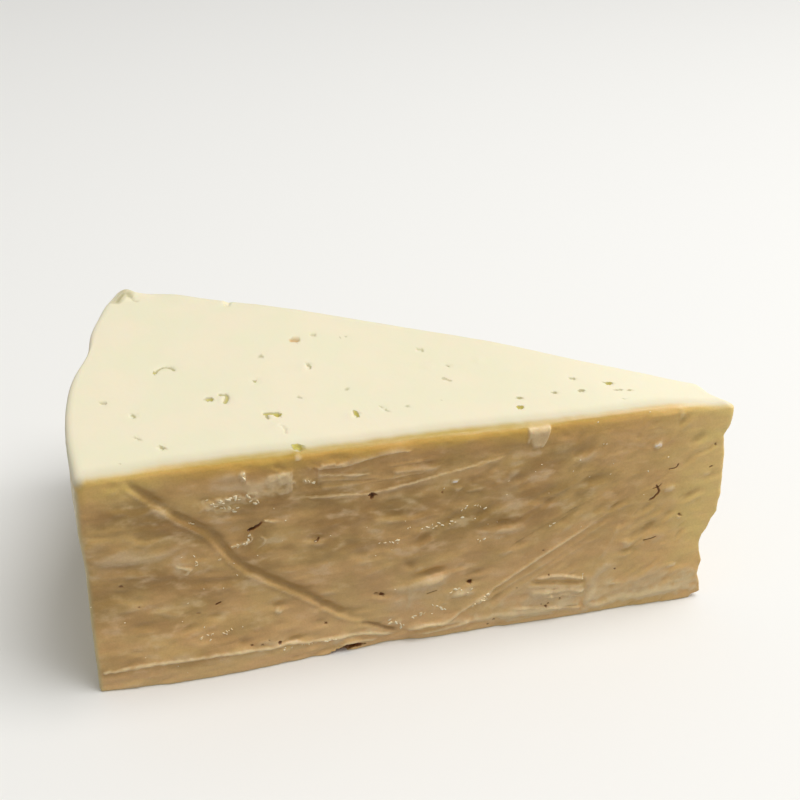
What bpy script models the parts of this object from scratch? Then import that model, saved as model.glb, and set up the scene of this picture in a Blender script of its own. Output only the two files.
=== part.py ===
"""A wedge of fresh asiago, cut from half the height of a small wheel and laid with its cut side up.

Metres, +Z up. The origin is under the middle of the wedge, on the face it rests on. The long front cut
faces -Y and runs along +X, from the wheel's rim to the blunt tip.

Places on the wedge are given in the cutter's own terms: "along" the front cut from the rim, "back" from
the front cut, and "up" from the bench.
"""

import math
from typing import NamedTuple

import bmesh
import bpy
from mathutils import Euler, Vector, noise

# The wheel, and the cuts that made the wedge
WHEEL_RADIUS = 0.180
HALF_HEIGHT = 0.062
CUT_ANGLE = math.radians(31.3)
MEET_TO_FRONT_RIM = 0.1752  # from where the two long cuts would meet, out to the rim
MEET_TO_BACK_RIM = 0.1868
MEET_TO_FRONT_TIP = 0.0119  # and out to the blunt tip
MEET_TO_BACK_TIP = 0.0216
BACK_BOW = 0.0076  # how far the back cut bellies out
BOW_SKEW = 0.74  # under 1 puts the belly nearer the rim
EDGE_ROUND = 0.0016  # the rounding of the edges at the top
FOOT_ROUND = 0.0006  # and at the foot, where the cheese sits on the bench
RIM_LEAN = 0.0012  # how far the rim draws in towards the foot

# How closely the block is gridded before it is shaped
GRID_ALONG = 0.0034
GRID_BACK = 0.0056
GRID_UP = 0.0032
EDGE_REACH = 0.0024  # how far a cut's relief carries round an edge
KEPT_AFTER_THINNING = 0.82  # share of the triangles left once the back is thinned
TINY = 1e-6

# Broad unevenness of the cuts
SWELL_SIZE = 0.026
SWELL_HEIGHT = 0.0004
CHIP_SIZE = 0.006
CHIP_HEIGHT = 0.0005

# The foot of the front cut, pressed outwards near the rim and drawn in by the notch
FLARE_OUT = 0.0027
FLARE_ALONG = 0.024
FLARE_REACH = 0.028
FLARE_FOOT = 0.0045
FLARE_TOP = 0.0105
TUCK_IN = 0.0010
TUCK_ALONG = 0.0740
TUCK_REACH = 0.0050
TUCK_TOP = 0.0080

# The rim's shallow dent, its fullness beside the back corner, and the ripple below its top edge
DENT_DEPTH = 0.0024
DENT_BACK = 0.0610
DENT_REACH = 0.0100
CORNER_FULLNESS = 0.0014
CORNER_BACK = 0.0910
CORNER_REACH = 0.0070
RIPPLE_OUT = 0.0007
RIPPLE_UP = 0.0460
RIPPLE_REACH = 0.0065

# How far the tip is scooped out between its two edges
TIP_SCOOP = 0.0013

# The long groove across the front cut, and the thin straight crease
GROOVE_WIDTH = 0.0052
GROOVE_DEPTH = 0.0014
GROOVE_START = (0.0100, 0.0620)
GROOVE_START_HANDLE = (0.0266, 0.0437)
GROOVE_END_HANDLE = (0.0510, 0.0161)
GROOVE_END = (0.0765, 0.0034)
CREASE_WIDTH = 0.0014
CREASE_DEPTH = 0.0005
CREASE_START = (0.0850, 0.0043)
CREASE_START_HANDLE = (0.0979, 0.0073)
CREASE_END_HANDLE = (0.1243, 0.0293)
CREASE_END = (0.1390, 0.0366)
GROOVE_POINTS = 12

# Materials, from the cut paste
PASTE_COLOUR = (0.86, 0.74, 0.48, 1.0)
PASTE_ROUGHNESS = 0.45


class Swelling(NamedTuple):
    """A soft rise (or, with a negative height, a dimple) on the front cut."""

    along: float
    up: float
    half_length: float
    half_height: float
    height: float


class Hollow(NamedTuple):
    """A band across the ragged tip where the cheese broke away, or hangs out if the depth is negative."""

    up: float
    half_height: float
    depth: float
    slant: float


class Eye(NamedTuple):
    """An eye in the top cut, cut by a squashed ball: its place, its half sizes and how it is turned."""

    along: float
    back: float
    half_length: float
    half_width: float
    half_depth: float
    turn: float


class Pit(NamedTuple):
    """A pit, slit or crack in the front cut: its place, its half sizes and how steeply it runs."""

    along: float
    up: float
    half_length: float
    half_width: float
    half_depth: float
    turn: float


class Lump(NamedTuple):
    """Paste smeared or left standing: the middle of a squashed ball, its half sizes and its turn."""

    middle: tuple
    half_sizes: tuple
    turn: tuple


SWELLINGS = (
    Swelling(0.0145, 0.0310, 0.0110, 0.0022, -0.0007),
    Swelling(0.0168, 0.0358, 0.0120, 0.0030, 0.0005),
    Swelling(0.0117, 0.0174, 0.0040, 0.0020, -0.0004),
    Swelling(0.0233, 0.0153, 0.0045, 0.0022, -0.0006),
    Swelling(0.0380, 0.0430, 0.0070, 0.0050, -0.0007),
    Swelling(0.0452, 0.0172, 0.0040, 0.0025, -0.0005),
    Swelling(0.0390, 0.0510, 0.0110, 0.0035, 0.0006),
    Swelling(0.0500, 0.0470, 0.0060, 0.0030, -0.0006),
    Swelling(0.0670, 0.0303, 0.0040, 0.0022, -0.0006),
    Swelling(0.0742, 0.0410, 0.0055, 0.0028, -0.0008),
    Swelling(0.0821, 0.0328, 0.0045, 0.0026, -0.0007),
    Swelling(0.0791, 0.0249, 0.0040, 0.0022, -0.0006),
    Swelling(0.0846, 0.0182, 0.0045, 0.0024, 0.0007),
    Swelling(0.0824, 0.0222, 0.0060, 0.0016, -0.0007),
    Swelling(0.1041, 0.0352, 0.0062, 0.0026, -0.0008),
    Swelling(0.1030, 0.0312, 0.0058, 0.0022, 0.0006),
    Swelling(0.0800, 0.0530, 0.0250, 0.0035, 0.0006),
    Swelling(0.1170, 0.0120, 0.0095, 0.0028, 0.0008),
    Swelling(0.1170, 0.0070, 0.0100, 0.0026, -0.0006),
    Swelling(0.1264, 0.0431, 0.0050, 0.0026, -0.0006),
    Swelling(0.1480, 0.0150, 0.0060, 0.0060, 0.0005),
    Swelling(0.1370, 0.0250, 0.0080, 0.0050, -0.0004),
)

TIP_HOLLOWS = (
    Hollow(0.0585, 0.0035, -0.0008, 0.0),
    Hollow(0.0510, 0.0040, 0.0013, 0.25),
    Hollow(0.0330, 0.0070, -0.0005, -0.2),
    Hollow(0.0192, 0.0056, 0.0036, 0.35),
    Hollow(0.0086, 0.0026, 0.0022, -0.3),
    Hollow(0.0000, 0.0026, 0.0020, 0.0),
)

EYES = (
    Eye(0.0247, 0.0473, 0.0024, 0.0014, 0.0009, 0.5),
    Eye(0.0344, 0.0293, 0.0013, 0.0012, 0.0012, 0.0),
    Eye(0.0378, 0.0291, 0.0012, 0.0010, 0.0010, 0.0),
    Eye(0.0479, 0.0184, 0.0020, 0.0013, 0.0016, 0.0),
    Eye(0.0498, 0.0117, 0.0019, 0.0017, 0.0008, 0.0),
    Eye(0.0601, 0.0562, 0.0014, 0.0013, 0.0012, 0.0),
    Eye(0.0609, 0.0410, 0.0012, 0.0012, 0.0010, 0.0),
    Eye(0.0681, 0.0154, 0.0017, 0.0015, 0.0014, 0.0),
    Eye(0.0515, 0.0026, 0.0013, 0.0012, 0.0013, 0.0),
    Eye(0.0321, 0.0850, 0.0010, 0.0009, 0.0008, 0.0),
    Eye(0.0295, 0.0701, 0.0009, 0.0009, 0.0008, 0.0),
    Eye(0.0741, 0.0556, 0.0011, 0.0009, 0.0008, 0.0),
    Eye(0.0926, 0.0444, 0.0010, 0.0009, 0.0008, 0.0),
    Eye(0.1066, 0.0350, 0.0010, 0.0008, 0.0008, 0.0),
    Eye(0.1102, 0.0136, 0.0011, 0.0010, 0.0010, 0.0),
    Eye(0.1089, 0.0088, 0.0012, 0.0008, 0.0009, 0.0),
    Eye(0.1347, 0.0161, 0.0011, 0.0009, 0.0009, 0.0),
    Eye(0.1377, 0.0112, 0.0010, 0.0008, 0.0009, 0.0),
)

PITS = (
    Pit(0.0407, 0.0429, 0.0032, 0.0008, 0.0016, 0.42),
    Pit(0.0306, 0.0213, 0.0014, 0.0006, 0.0010, 0.3),
    Pit(0.0555, 0.0361, 0.0016, 0.0006, 0.0012, 0.2),
    Pit(0.0691, 0.0477, 0.0014, 0.0010, 0.0014, 0.0),
    Pit(0.0951, 0.0167, 0.0009, 0.0009, 0.0010, 0.0),
    Pit(0.0720, 0.0169, 0.0010, 0.0006, 0.0009, 0.0),
    Pit(0.0849, 0.0152, 0.0010, 0.0005, 0.0009, 0.0),
    Pit(0.1440, 0.0374, 0.0036, 0.0006, 0.0013, 1.2),
    Pit(0.1433, 0.0352, 0.0022, 0.0005, 0.0011, -0.6),
    Pit(0.1486, 0.0446, 0.0019, 0.0005, 0.0011, 0.6),
    Pit(0.1444, 0.0228, 0.0023, 0.0005, 0.0010, 0.25),
    Pit(0.1596, 0.0499, 0.0007, 0.0006, 0.0009, 0.0),
)

# The torn notch under the front edge: the balls that bite it out, with half sizes
NOTCH_BITES = (
    Lump((0.0600, -0.0008, 0.0000), (0.0030, 0.0018, 0.0007), (0.0, 0.0, 0.1)),
    Lump((0.0645, -0.0004, 0.0006), (0.0034, 0.0018, 0.0011), (0.0, -0.45, 0.0)),
)

# The curl at the back corner, the tongue of paste hanging over the front edge, and the white smear
CURL = (
    Lump((0.0203, 0.0942, 0.0603), (0.0058, 0.0021, 0.0034), (0.0, 0.14, -0.5)),
    Lump((0.0160, 0.0925, 0.0598), (0.0018, 0.0042, 0.0030), (0.0, 0.0, 0.3)),
    Lump((0.0184, 0.0920, 0.0602), (0.0030, 0.0024, 0.0026), (0.0, 0.0, -0.5)),
)
TONGUE = (
    Lump((0.1112, 0.0003, 0.0585), (0.0033, 0.0013, 0.0042), (0.0, 0.0, 0.0)),
    Lump((0.1112, 0.0016, 0.0607), (0.0033, 0.0022, 0.0016), (0.0, 0.0, 0.0)),
)
SMEAR = (
    Lump((0.0462, 0.0001, 0.0550), (0.0038, 0.0011, 0.0034), (0.0, 0.15, 0.0)),
    Lump((0.0490, 0.0001, 0.0540), (0.0014, 0.0013, 0.0032), (0.0, -0.1, 0.0)),
)

# Thin strips and folds that the knife left standing on the front cut
STRIPS = (
    Lump((0.0690, 0.0000, 0.0574), (0.0125, 0.0007, 0.0011), (0.0, -0.05, 0.0)),
    Lump((0.0660, 0.0000, 0.0545), (0.0100, 0.0006, 0.0009), (0.0, 0.02, 0.0)),
    Lump((0.0640, 0.0001, 0.0487), (0.0135, 0.0007, 0.0007), (0.0, 0.02, 0.0)),
    Lump((0.0930, 0.0001, 0.0526), (0.0150, 0.0007, 0.0007), (0.0, -0.21, 0.0)),
    Lump((0.1195, 0.0000, 0.0137), (0.0075, 0.0010, 0.0009), (0.0, 0.16, 0.0)),
    Lump((0.1180, 0.0000, 0.0048), (0.0095, 0.0009, 0.0009), (0.0, 0.14, 0.0)),
)
BALL_SUBDIVISIONS = 2

FRONT_RIM = Vector((0.0, 0.0))
MEETING = FRONT_RIM + Vector((MEET_TO_FRONT_RIM, 0.0))
BACK_LINE = Vector((-math.cos(CUT_ANGLE), math.sin(CUT_ANGLE)))
BACK_OUTWARD = Vector((math.sin(CUT_ANGLE), math.cos(CUT_ANGLE)))
BACK_RIM = MEETING + BACK_LINE * MEET_TO_BACK_RIM
FRONT_TIP = MEETING - Vector((MEET_TO_FRONT_TIP, 0.0))
BACK_TIP = MEETING + BACK_LINE * MEET_TO_BACK_TIP
TIP_WIDTH = (BACK_TIP - FRONT_TIP).length


def clear_scene():
    """Removes what the scene holds, so that only the wedge is in it."""
    for old in list(bpy.data.objects):
        bpy.data.objects.remove(old, do_unlink=True)


def rim_point(depth):
    """A point of the wheel's rim between the front cut (depth 0) and the back cut (depth 1)."""
    chord = BACK_RIM - FRONT_RIM
    inward = Vector((chord.y, -chord.x)).normalized()
    centre = (FRONT_RIM + BACK_RIM) / 2
    centre += inward * math.sqrt(WHEEL_RADIUS**2 - (chord.length / 2) ** 2)
    sweep = 2 * math.asin(chord.length / 2 / WHEEL_RADIUS)
    spoke = FRONT_RIM - centre
    turn = -sweep * depth
    cosine, sine = math.cos(turn), math.sin(turn)
    return centre + Vector((spoke.x * cosine - spoke.y * sine, spoke.x * sine + spoke.y * cosine))


def plan_point(run, depth):
    """The plan of the wedge: run goes from the rim (0) to the tip (1), depth from front to back."""
    point = rim_point(depth).lerp(FRONT_TIP.lerp(BACK_TIP, depth), run)
    belly = BACK_BOW * math.sin(math.pi * min(max(run, 0.0), 1.0) ** BOW_SKEW)
    return point + BACK_OUTWARD * belly * depth


def bump(value, middle, half):
    """1 at the middle, falling smoothly to 0."""
    return math.exp(-(((value - middle) / half) ** 2))


def fade(value, full, gone):
    """1 up to full, falling smoothly to 0 at gone."""
    share = min(max((gone - value) / (gone - full), 0.0), 1.0)
    return share * share * (3 - 2 * share)


def swell(point, size, height, seed):
    """Broad unevenness, the same on every run."""
    return height * noise.noise(Vector(point) / size + Vector((seed, 0.0, 0.0)))


def front_relief(along, up):
    """How far the front cut stands out from its plane."""
    out = FLARE_OUT * bump(along, FLARE_ALONG, FLARE_REACH) * fade(up, FLARE_FOOT, FLARE_TOP)
    out -= TUCK_IN * bump(along, TUCK_ALONG, TUCK_REACH) * fade(up, 0.0, TUCK_TOP)
    for rise in SWELLINGS:
        nearness = bump(along, rise.along, rise.half_length) * bump(up, rise.up, rise.half_height)
        out += rise.height * nearness
    return out + swell((along, up, 0.0), SWELL_SIZE, SWELL_HEIGHT, 11.3)


def tip_relief(back, up):
    """How far the ragged tip stands out."""
    out = -TIP_SCOOP * bump(back, TIP_WIDTH / 2, TIP_WIDTH / 3)
    for hollow in TIP_HOLLOWS:
        out -= hollow.depth * bump(up, hollow.up + hollow.slant * back, hollow.half_height)
    return out + swell((back, up, 0.0), CHIP_SIZE, CHIP_HEIGHT, 3.7)


def rim_relief(back, up):
    """The rim's lean, its shallow dent, its full back corner, and its unevenness."""
    out = -RIM_LEAN * (1 - up / HALF_HEIGHT) * (1 - bump(back, 0.0, EDGE_REACH * 2))
    out -= DENT_DEPTH * bump(back, DENT_BACK, DENT_REACH)
    out += CORNER_FULLNESS * bump(back, CORNER_BACK, CORNER_REACH)
    out += RIPPLE_OUT * bump(up, RIPPLE_UP, RIPPLE_REACH)
    return out + swell((back, up, 0.0), SWELL_SIZE, SWELL_HEIGHT, 5.1)


def near(distance):
    """How much of a cut's relief is felt at a distance from the cut."""
    return math.exp(-((distance / EDGE_REACH) ** 2))


def shaped(unit):
    """The place on the wedge of a point of the unit block."""
    run, depth, rise = unit
    length = (FRONT_TIP.lerp(BACK_TIP, depth) - rim_point(depth)).length
    width = (plan_point(run, 1.0) - plan_point(run, 0.0)).length
    size = (length, width, HALF_HEIGHT)
    flat = Vector((run * length, depth * width, rise * HALF_HEIGHT))
    rounding = FOOT_ROUND + (EDGE_ROUND - FOOT_ROUND) * rise
    inner = Vector([min(max(at, rounding), most - rounding) for at, most in zip(flat, size)])
    flat = inner + (flat - inner).normalized() * rounding
    along, back, up = flat

    place = plan_point(along / length, back / width).to_3d()
    place.z = up
    place.y -= front_relief(along, up) * near(back)
    behind = swell((along, up, 0.0), SWELL_SIZE, SWELL_HEIGHT * 1.5, 7.9) * near(width - back)
    place += BACK_OUTWARD.to_3d() * behind
    place.x += tip_relief(back, up) * near(length - along)
    place.x -= rim_relief(back, up) * near(along)
    place.z += swell((along, back, 0.0), SWELL_SIZE * 1.6, SWELL_HEIGHT, 2.2) * near(HALF_HEIGHT - up)
    return place


def grid_lines(length, spacing, first_edge=EDGE_ROUND):
    """Places of the grid's lines on a side of the unit block, with one where each rounded edge ends."""
    inside = length - first_edge - EDGE_ROUND
    steps = round(inside / spacing)
    return [(first_edge + inside * step / steps) / length for step in range(steps + 1)]


def block_lines():
    """The grid's lines across the unit block: along, back and up."""
    return (
        grid_lines(MEET_TO_FRONT_RIM - MEET_TO_FRONT_TIP, GRID_ALONG),
        grid_lines((BACK_RIM - FRONT_RIM).length, GRID_BACK),
        grid_lines(HALF_HEIGHT, GRID_UP, FOOT_ROUND),
    )


def gridded_block():
    """A unit block whose faces carry the grid."""
    block = bmesh.new()
    bmesh.ops.create_cube(block, size=1.0)
    bmesh.ops.translate(block, verts=block.verts, vec=(0.5, 0.5, 0.5))
    directions = (Vector((1, 0, 0)), Vector((0, 1, 0)), Vector((0, 0, 1)))
    for direction, lines in zip(directions, block_lines()):
        for line in lines:
            whole = block.verts[:] + block.edges[:] + block.faces[:]
            bmesh.ops.bisect_plane(
                block, geom=whole, dist=TINY, plane_co=direction * line, plane_no=direction
            )
    return block


def paste_material():
    """The cut paste: pale, moist and slightly glossy."""
    material = bpy.data.materials.new("asiago_paste")
    material.use_nodes = True
    shader = material.node_tree.nodes["Principled BSDF"]
    shader.inputs["Base Color"].default_value = PASTE_COLOUR
    shader.inputs["Roughness"].default_value = PASTE_ROUGHNESS
    shader.inputs["Metallic"].default_value = 0.0
    return material


def merge_foot(block):
    """Makes the foot one flat face inside its rounded edges, as it has nothing to show."""
    lines_along, lines_back, _ = block_lines()

    def well_inside(vert):
        along = lines_along[0] + TINY < vert.co.x < lines_along[-1] - TINY
        return vert.co.z < TINY and along and lines_back[0] + TINY < vert.co.y < lines_back[-1] - TINY

    inner = {edge for vert in block.verts if well_inside(vert) for edge in vert.link_edges}
    bmesh.ops.dissolve_edges(block, edges=list(inner), use_verts=True)


def wedge_object(collection, corner):
    """The wedge before anything is cut from it or left on it."""
    block = gridded_block()
    merge_foot(block)
    behind = block.verts.layers.deform.verify()
    for vert in block.verts:
        if vert.co.y > 1 - TINY:
            vert[behind][0] = 1.0
        vert.co = shaped(vert.co)
    mesh = bpy.data.meshes.new("cheese_wedge")
    block.to_mesh(mesh)
    block.free()
    mesh.materials.append(paste_material())
    wedge = bpy.data.objects.new("cheese_wedge", mesh)
    wedge.parent = corner
    collection.objects.link(wedge)

    wedge.vertex_groups.new(name="behind")
    thin = wedge.modifiers.new("thin_behind", "DECIMATE")
    thin.decimate_type = "COLLAPSE"
    thin.ratio = KEPT_AFTER_THINNING
    thin.vertex_group = "behind"
    return wedge


def ball(name, middle, half_sizes, turn, collection, corner):
    """A squashed ball, for a hole or a lump."""
    shape = bmesh.new()
    bmesh.ops.create_icosphere(shape, subdivisions=BALL_SUBDIVISIONS, radius=1.0)
    mesh = bpy.data.meshes.new(name)
    shape.to_mesh(mesh)
    shape.free()
    piece = bpy.data.objects.new(name, mesh)
    piece.location = middle
    piece.scale = half_sizes
    piece.rotation_euler = Euler(turn)
    piece.parent = corner
    piece.hide_render = True
    piece.display_type = "WIRE"
    collection.objects.link(piece)
    return piece


def tube(name, ends_and_handles, width, depth, collection, corner):
    """A tapering tube laid against the front cut, which bites a groove of this width and depth."""
    start, start_handle, end_handle, end = ends_and_handles
    radius = ((width / 2) ** 2 + depth**2) / (2 * depth)
    curve = bpy.data.curves.new(name, "CURVE")
    curve.dimensions = "3D"
    curve.bevel_depth = radius
    curve.bevel_resolution = 3
    curve.use_fill_caps = True
    curve.resolution_u = GROOVE_POINTS
    spline = curve.splines.new("BEZIER")
    spline.bezier_points.add(1)
    first, last = spline.bezier_points
    for knot, place in ((first, start), (last, end)):
        knot.co = (place[0], depth - radius, place[1])
    first.handle_right = (start_handle[0], depth - radius, start_handle[1])
    first.handle_left = first.co + (first.co - first.handle_right) * 0.2
    last.handle_left = (end_handle[0], depth - radius, end_handle[1])
    last.handle_right = last.co + (last.co - last.handle_left) * 0.2
    rod = bpy.data.objects.new(name, curve)
    bpy.context.scene.collection.objects.link(rod)
    bpy.context.view_layer.update()
    mesh = bpy.data.meshes.new_from_object(rod.evaluated_get(bpy.context.evaluated_depsgraph_get()))
    bpy.data.objects.remove(rod, do_unlink=True)

    closed = bmesh.new()
    closed.from_mesh(mesh)
    bmesh.ops.remove_doubles(closed, verts=closed.verts, dist=1e-6)
    closed.to_mesh(mesh)
    closed.free()
    cutter = bpy.data.objects.new(name, mesh)
    cutter.parent = corner
    cutter.hide_render = True
    cutter.display_type = "WIRE"
    collection.objects.link(cutter)
    return cutter


def boolean(wedge, name, operation, collection):
    """Cuts a collection's pieces from the wedge, or joins them to it."""
    step = wedge.modifiers.new(name, "BOOLEAN")
    step.operation = operation
    step.operand_type = "COLLECTION"
    step.collection = collection
    step.solver = "EXACT"


def new_collection(name):
    """A collection of its own in the scene."""
    collection = bpy.data.collections.new(name)
    bpy.context.scene.collection.children.link(collection)
    return collection


def centre_on_origin(wedge, corner):
    """Moves the whole so that the origin is under the middle of the wedge's box."""
    bpy.context.view_layer.update()
    whole = wedge.evaluated_get(bpy.context.evaluated_depsgraph_get())
    corners = [Vector(point) for point in whole.bound_box]
    lowest = Vector([min(point[axis] for point in corners) for axis in range(3)])
    highest = Vector([max(point[axis] for point in corners) for axis in range(3)])
    middle = (lowest + highest) / 2
    corner.location = (-middle.x, -middle.y, -lowest.z)
    bpy.context.view_layer.update()


def main():
    clear_scene()
    cheese = new_collection("asiago_wedge")
    cutters = new_collection("cutters")
    left_on = new_collection("left_on")
    corner = bpy.data.objects.new("front_rim_corner", None)
    cheese.objects.link(corner)

    wedge = wedge_object(cheese, corner)
    for number, lump in enumerate(CURL + TONGUE + SMEAR + STRIPS):
        ball(f"lump_{number}", lump.middle, lump.half_sizes, lump.turn, left_on, corner)
    for number, eye in enumerate(EYES):
        middle = (eye.along, eye.back, HALF_HEIGHT)
        sizes = (eye.half_length, eye.half_width, eye.half_depth)
        ball(f"eye_{number}", middle, sizes, (0.0, 0.0, eye.turn), cutters, corner)
    for number, pit in enumerate(PITS):
        middle = (pit.along, -front_relief(pit.along, pit.up), pit.up)
        sizes = (pit.half_length, pit.half_depth, pit.half_width)
        ball(f"pit_{number}", middle, sizes, (0.0, -pit.turn, 0.0), cutters, corner)
    for number, bite in enumerate(NOTCH_BITES):
        ball(f"notch_{number}", bite.middle, bite.half_sizes, bite.turn, cutters, corner)
    groove = (GROOVE_START, GROOVE_START_HANDLE, GROOVE_END_HANDLE, GROOVE_END)
    tube("groove", groove, GROOVE_WIDTH, GROOVE_DEPTH, cutters, corner)
    crease = (CREASE_START, CREASE_START_HANDLE, CREASE_END_HANDLE, CREASE_END)
    tube("crease", crease, CREASE_WIDTH, CREASE_DEPTH, cutters, corner)

    boolean(wedge, "left_on", "UNION", left_on)
    boolean(wedge, "cut_out", "DIFFERENCE", cutters)
    centre_on_origin(wedge, corner)


main()
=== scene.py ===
"""Dresses the wedge of fresh asiago that the frame holds, and sets it in a plain studio.

Places on the cheese are in millimetres and in the cutter's own terms: "along" the front cut from the
rim, "back" from the front cut, and "up" from the bench. The frame itself is in metres.
"""

import logging
import math
from dataclasses import dataclass, field
from enum import Enum
from typing import Any, ClassVar, Iterator, NamedTuple, Sequence

import bmesh
import bpy
import numpy as np
from mathutils import Matrix, Vector, noise


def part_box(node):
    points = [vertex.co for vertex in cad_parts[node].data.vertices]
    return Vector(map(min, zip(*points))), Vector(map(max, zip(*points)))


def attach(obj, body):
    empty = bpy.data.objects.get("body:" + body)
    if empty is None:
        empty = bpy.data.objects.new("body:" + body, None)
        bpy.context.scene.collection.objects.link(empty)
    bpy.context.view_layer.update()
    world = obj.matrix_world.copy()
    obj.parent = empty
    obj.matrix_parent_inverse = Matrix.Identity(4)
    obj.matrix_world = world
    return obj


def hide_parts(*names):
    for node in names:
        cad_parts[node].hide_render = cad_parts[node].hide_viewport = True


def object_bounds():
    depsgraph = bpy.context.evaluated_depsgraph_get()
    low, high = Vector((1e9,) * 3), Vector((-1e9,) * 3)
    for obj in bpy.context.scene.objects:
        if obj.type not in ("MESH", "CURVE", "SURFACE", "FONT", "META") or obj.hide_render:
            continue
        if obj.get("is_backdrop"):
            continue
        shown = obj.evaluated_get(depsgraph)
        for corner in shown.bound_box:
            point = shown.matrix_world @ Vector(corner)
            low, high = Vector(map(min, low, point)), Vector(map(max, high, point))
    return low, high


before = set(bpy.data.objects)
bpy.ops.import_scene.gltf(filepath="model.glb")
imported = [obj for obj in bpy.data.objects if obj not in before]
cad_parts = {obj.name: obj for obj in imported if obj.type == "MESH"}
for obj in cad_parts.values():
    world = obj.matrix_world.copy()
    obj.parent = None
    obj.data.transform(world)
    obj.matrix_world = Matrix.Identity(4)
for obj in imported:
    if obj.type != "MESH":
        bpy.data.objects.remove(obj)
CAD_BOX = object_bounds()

Array = np.ndarray
MM = 0.001
NODE = "cheese_wedge"
BODY = "root"
CORNER_IN_BOX = (1.56, 2.62, 0.0)  # the front rim corner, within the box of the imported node

log = logging.getLogger("asiago")


def bump(value: Array, middle: float, half: float) -> Array:
    """1 at the middle, falling smoothly to 0."""
    return np.exp(-(((value - middle) / half) ** 2))


def rise(value: Array, start: float | Array, end: float | Array) -> Array:
    """0 up to start, rising smoothly to 1 at end."""
    share = np.clip((value - start) / (end - start), 0.0, 1.0)
    return share * share * (3 - 2 * share)


def mixed(first: Array, second: Array, share: Array) -> Array:
    """Rows of first where share is 0 and of second where it is 1."""
    return first * (1 - share)[:, None] + second * share[:, None]


def unevenness(places: Sequence[Array], sizes: Sequence[float], seed: float) -> Array:
    """Natural unevenness, the same on every run.

    Args:
        places: The coordinates, one array for each axis.
        sizes: The size of a lump along each axis.
        seed: Which unevenness of many.

    Returns:
        A value between -1 and 1 for each place.
    """
    scaled = np.stack([place / size for place, size in zip(places, sizes)], axis=-1)
    padded = np.zeros((len(scaled), 3))
    padded[:, : scaled.shape[1]] = scaled
    padded[:, 0] += seed
    padded[:, 2] += seed * 0.37
    return np.fromiter((noise.noise(row) for row in padded.tolist()), float, len(padded))


@dataclass(frozen=True)
class Lumps:
    """Natural unevenness of one kind: how far it goes either way, the size of its lumps, and its seed."""

    amount: float
    sizes: tuple[float, float]
    seed: float

    def at(self, one: Array, two: Array, shift: float = 0.0) -> Array:
        """How far it goes at each place, with shift to choose another of its kind."""
        return self.amount * unevenness((one, two), self.sizes, self.seed + shift)


def turned(along: Array, across: Array, degrees: float) -> tuple[Array, Array]:
    """The same offsets in axes turned anticlockwise by an angle."""
    cosine, sine = math.cos(math.radians(degrees)), math.sin(math.radians(degrees))
    return along * cosine + across * sine, across * cosine - along * sine


def finished(skin: bmesh.types.BMesh, name: str) -> bpy.types.Mesh:
    """Turns a mesh that was being edited into one of its own.

    Args:
        skin: The mesh being edited, which is freed.
        name: The name of the new mesh.

    Returns:
        The new mesh.
    """
    mesh = bpy.data.meshes.new(name)
    skin.to_mesh(mesh)
    skin.free()
    return mesh


def shown(name: str, data: bpy.types.ID) -> bpy.types.Object:
    """Puts a new object in the scene.

    Args:
        name: The object's name.
        data: Its mesh, camera or light.

    Returns:
        The new object.
    """
    made = bpy.data.objects.new(name, data)
    bpy.context.scene.collection.objects.link(made)
    return made


# ---------------------------------------------------------------------------------------------------
# The wheel and the block cut from it


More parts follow.
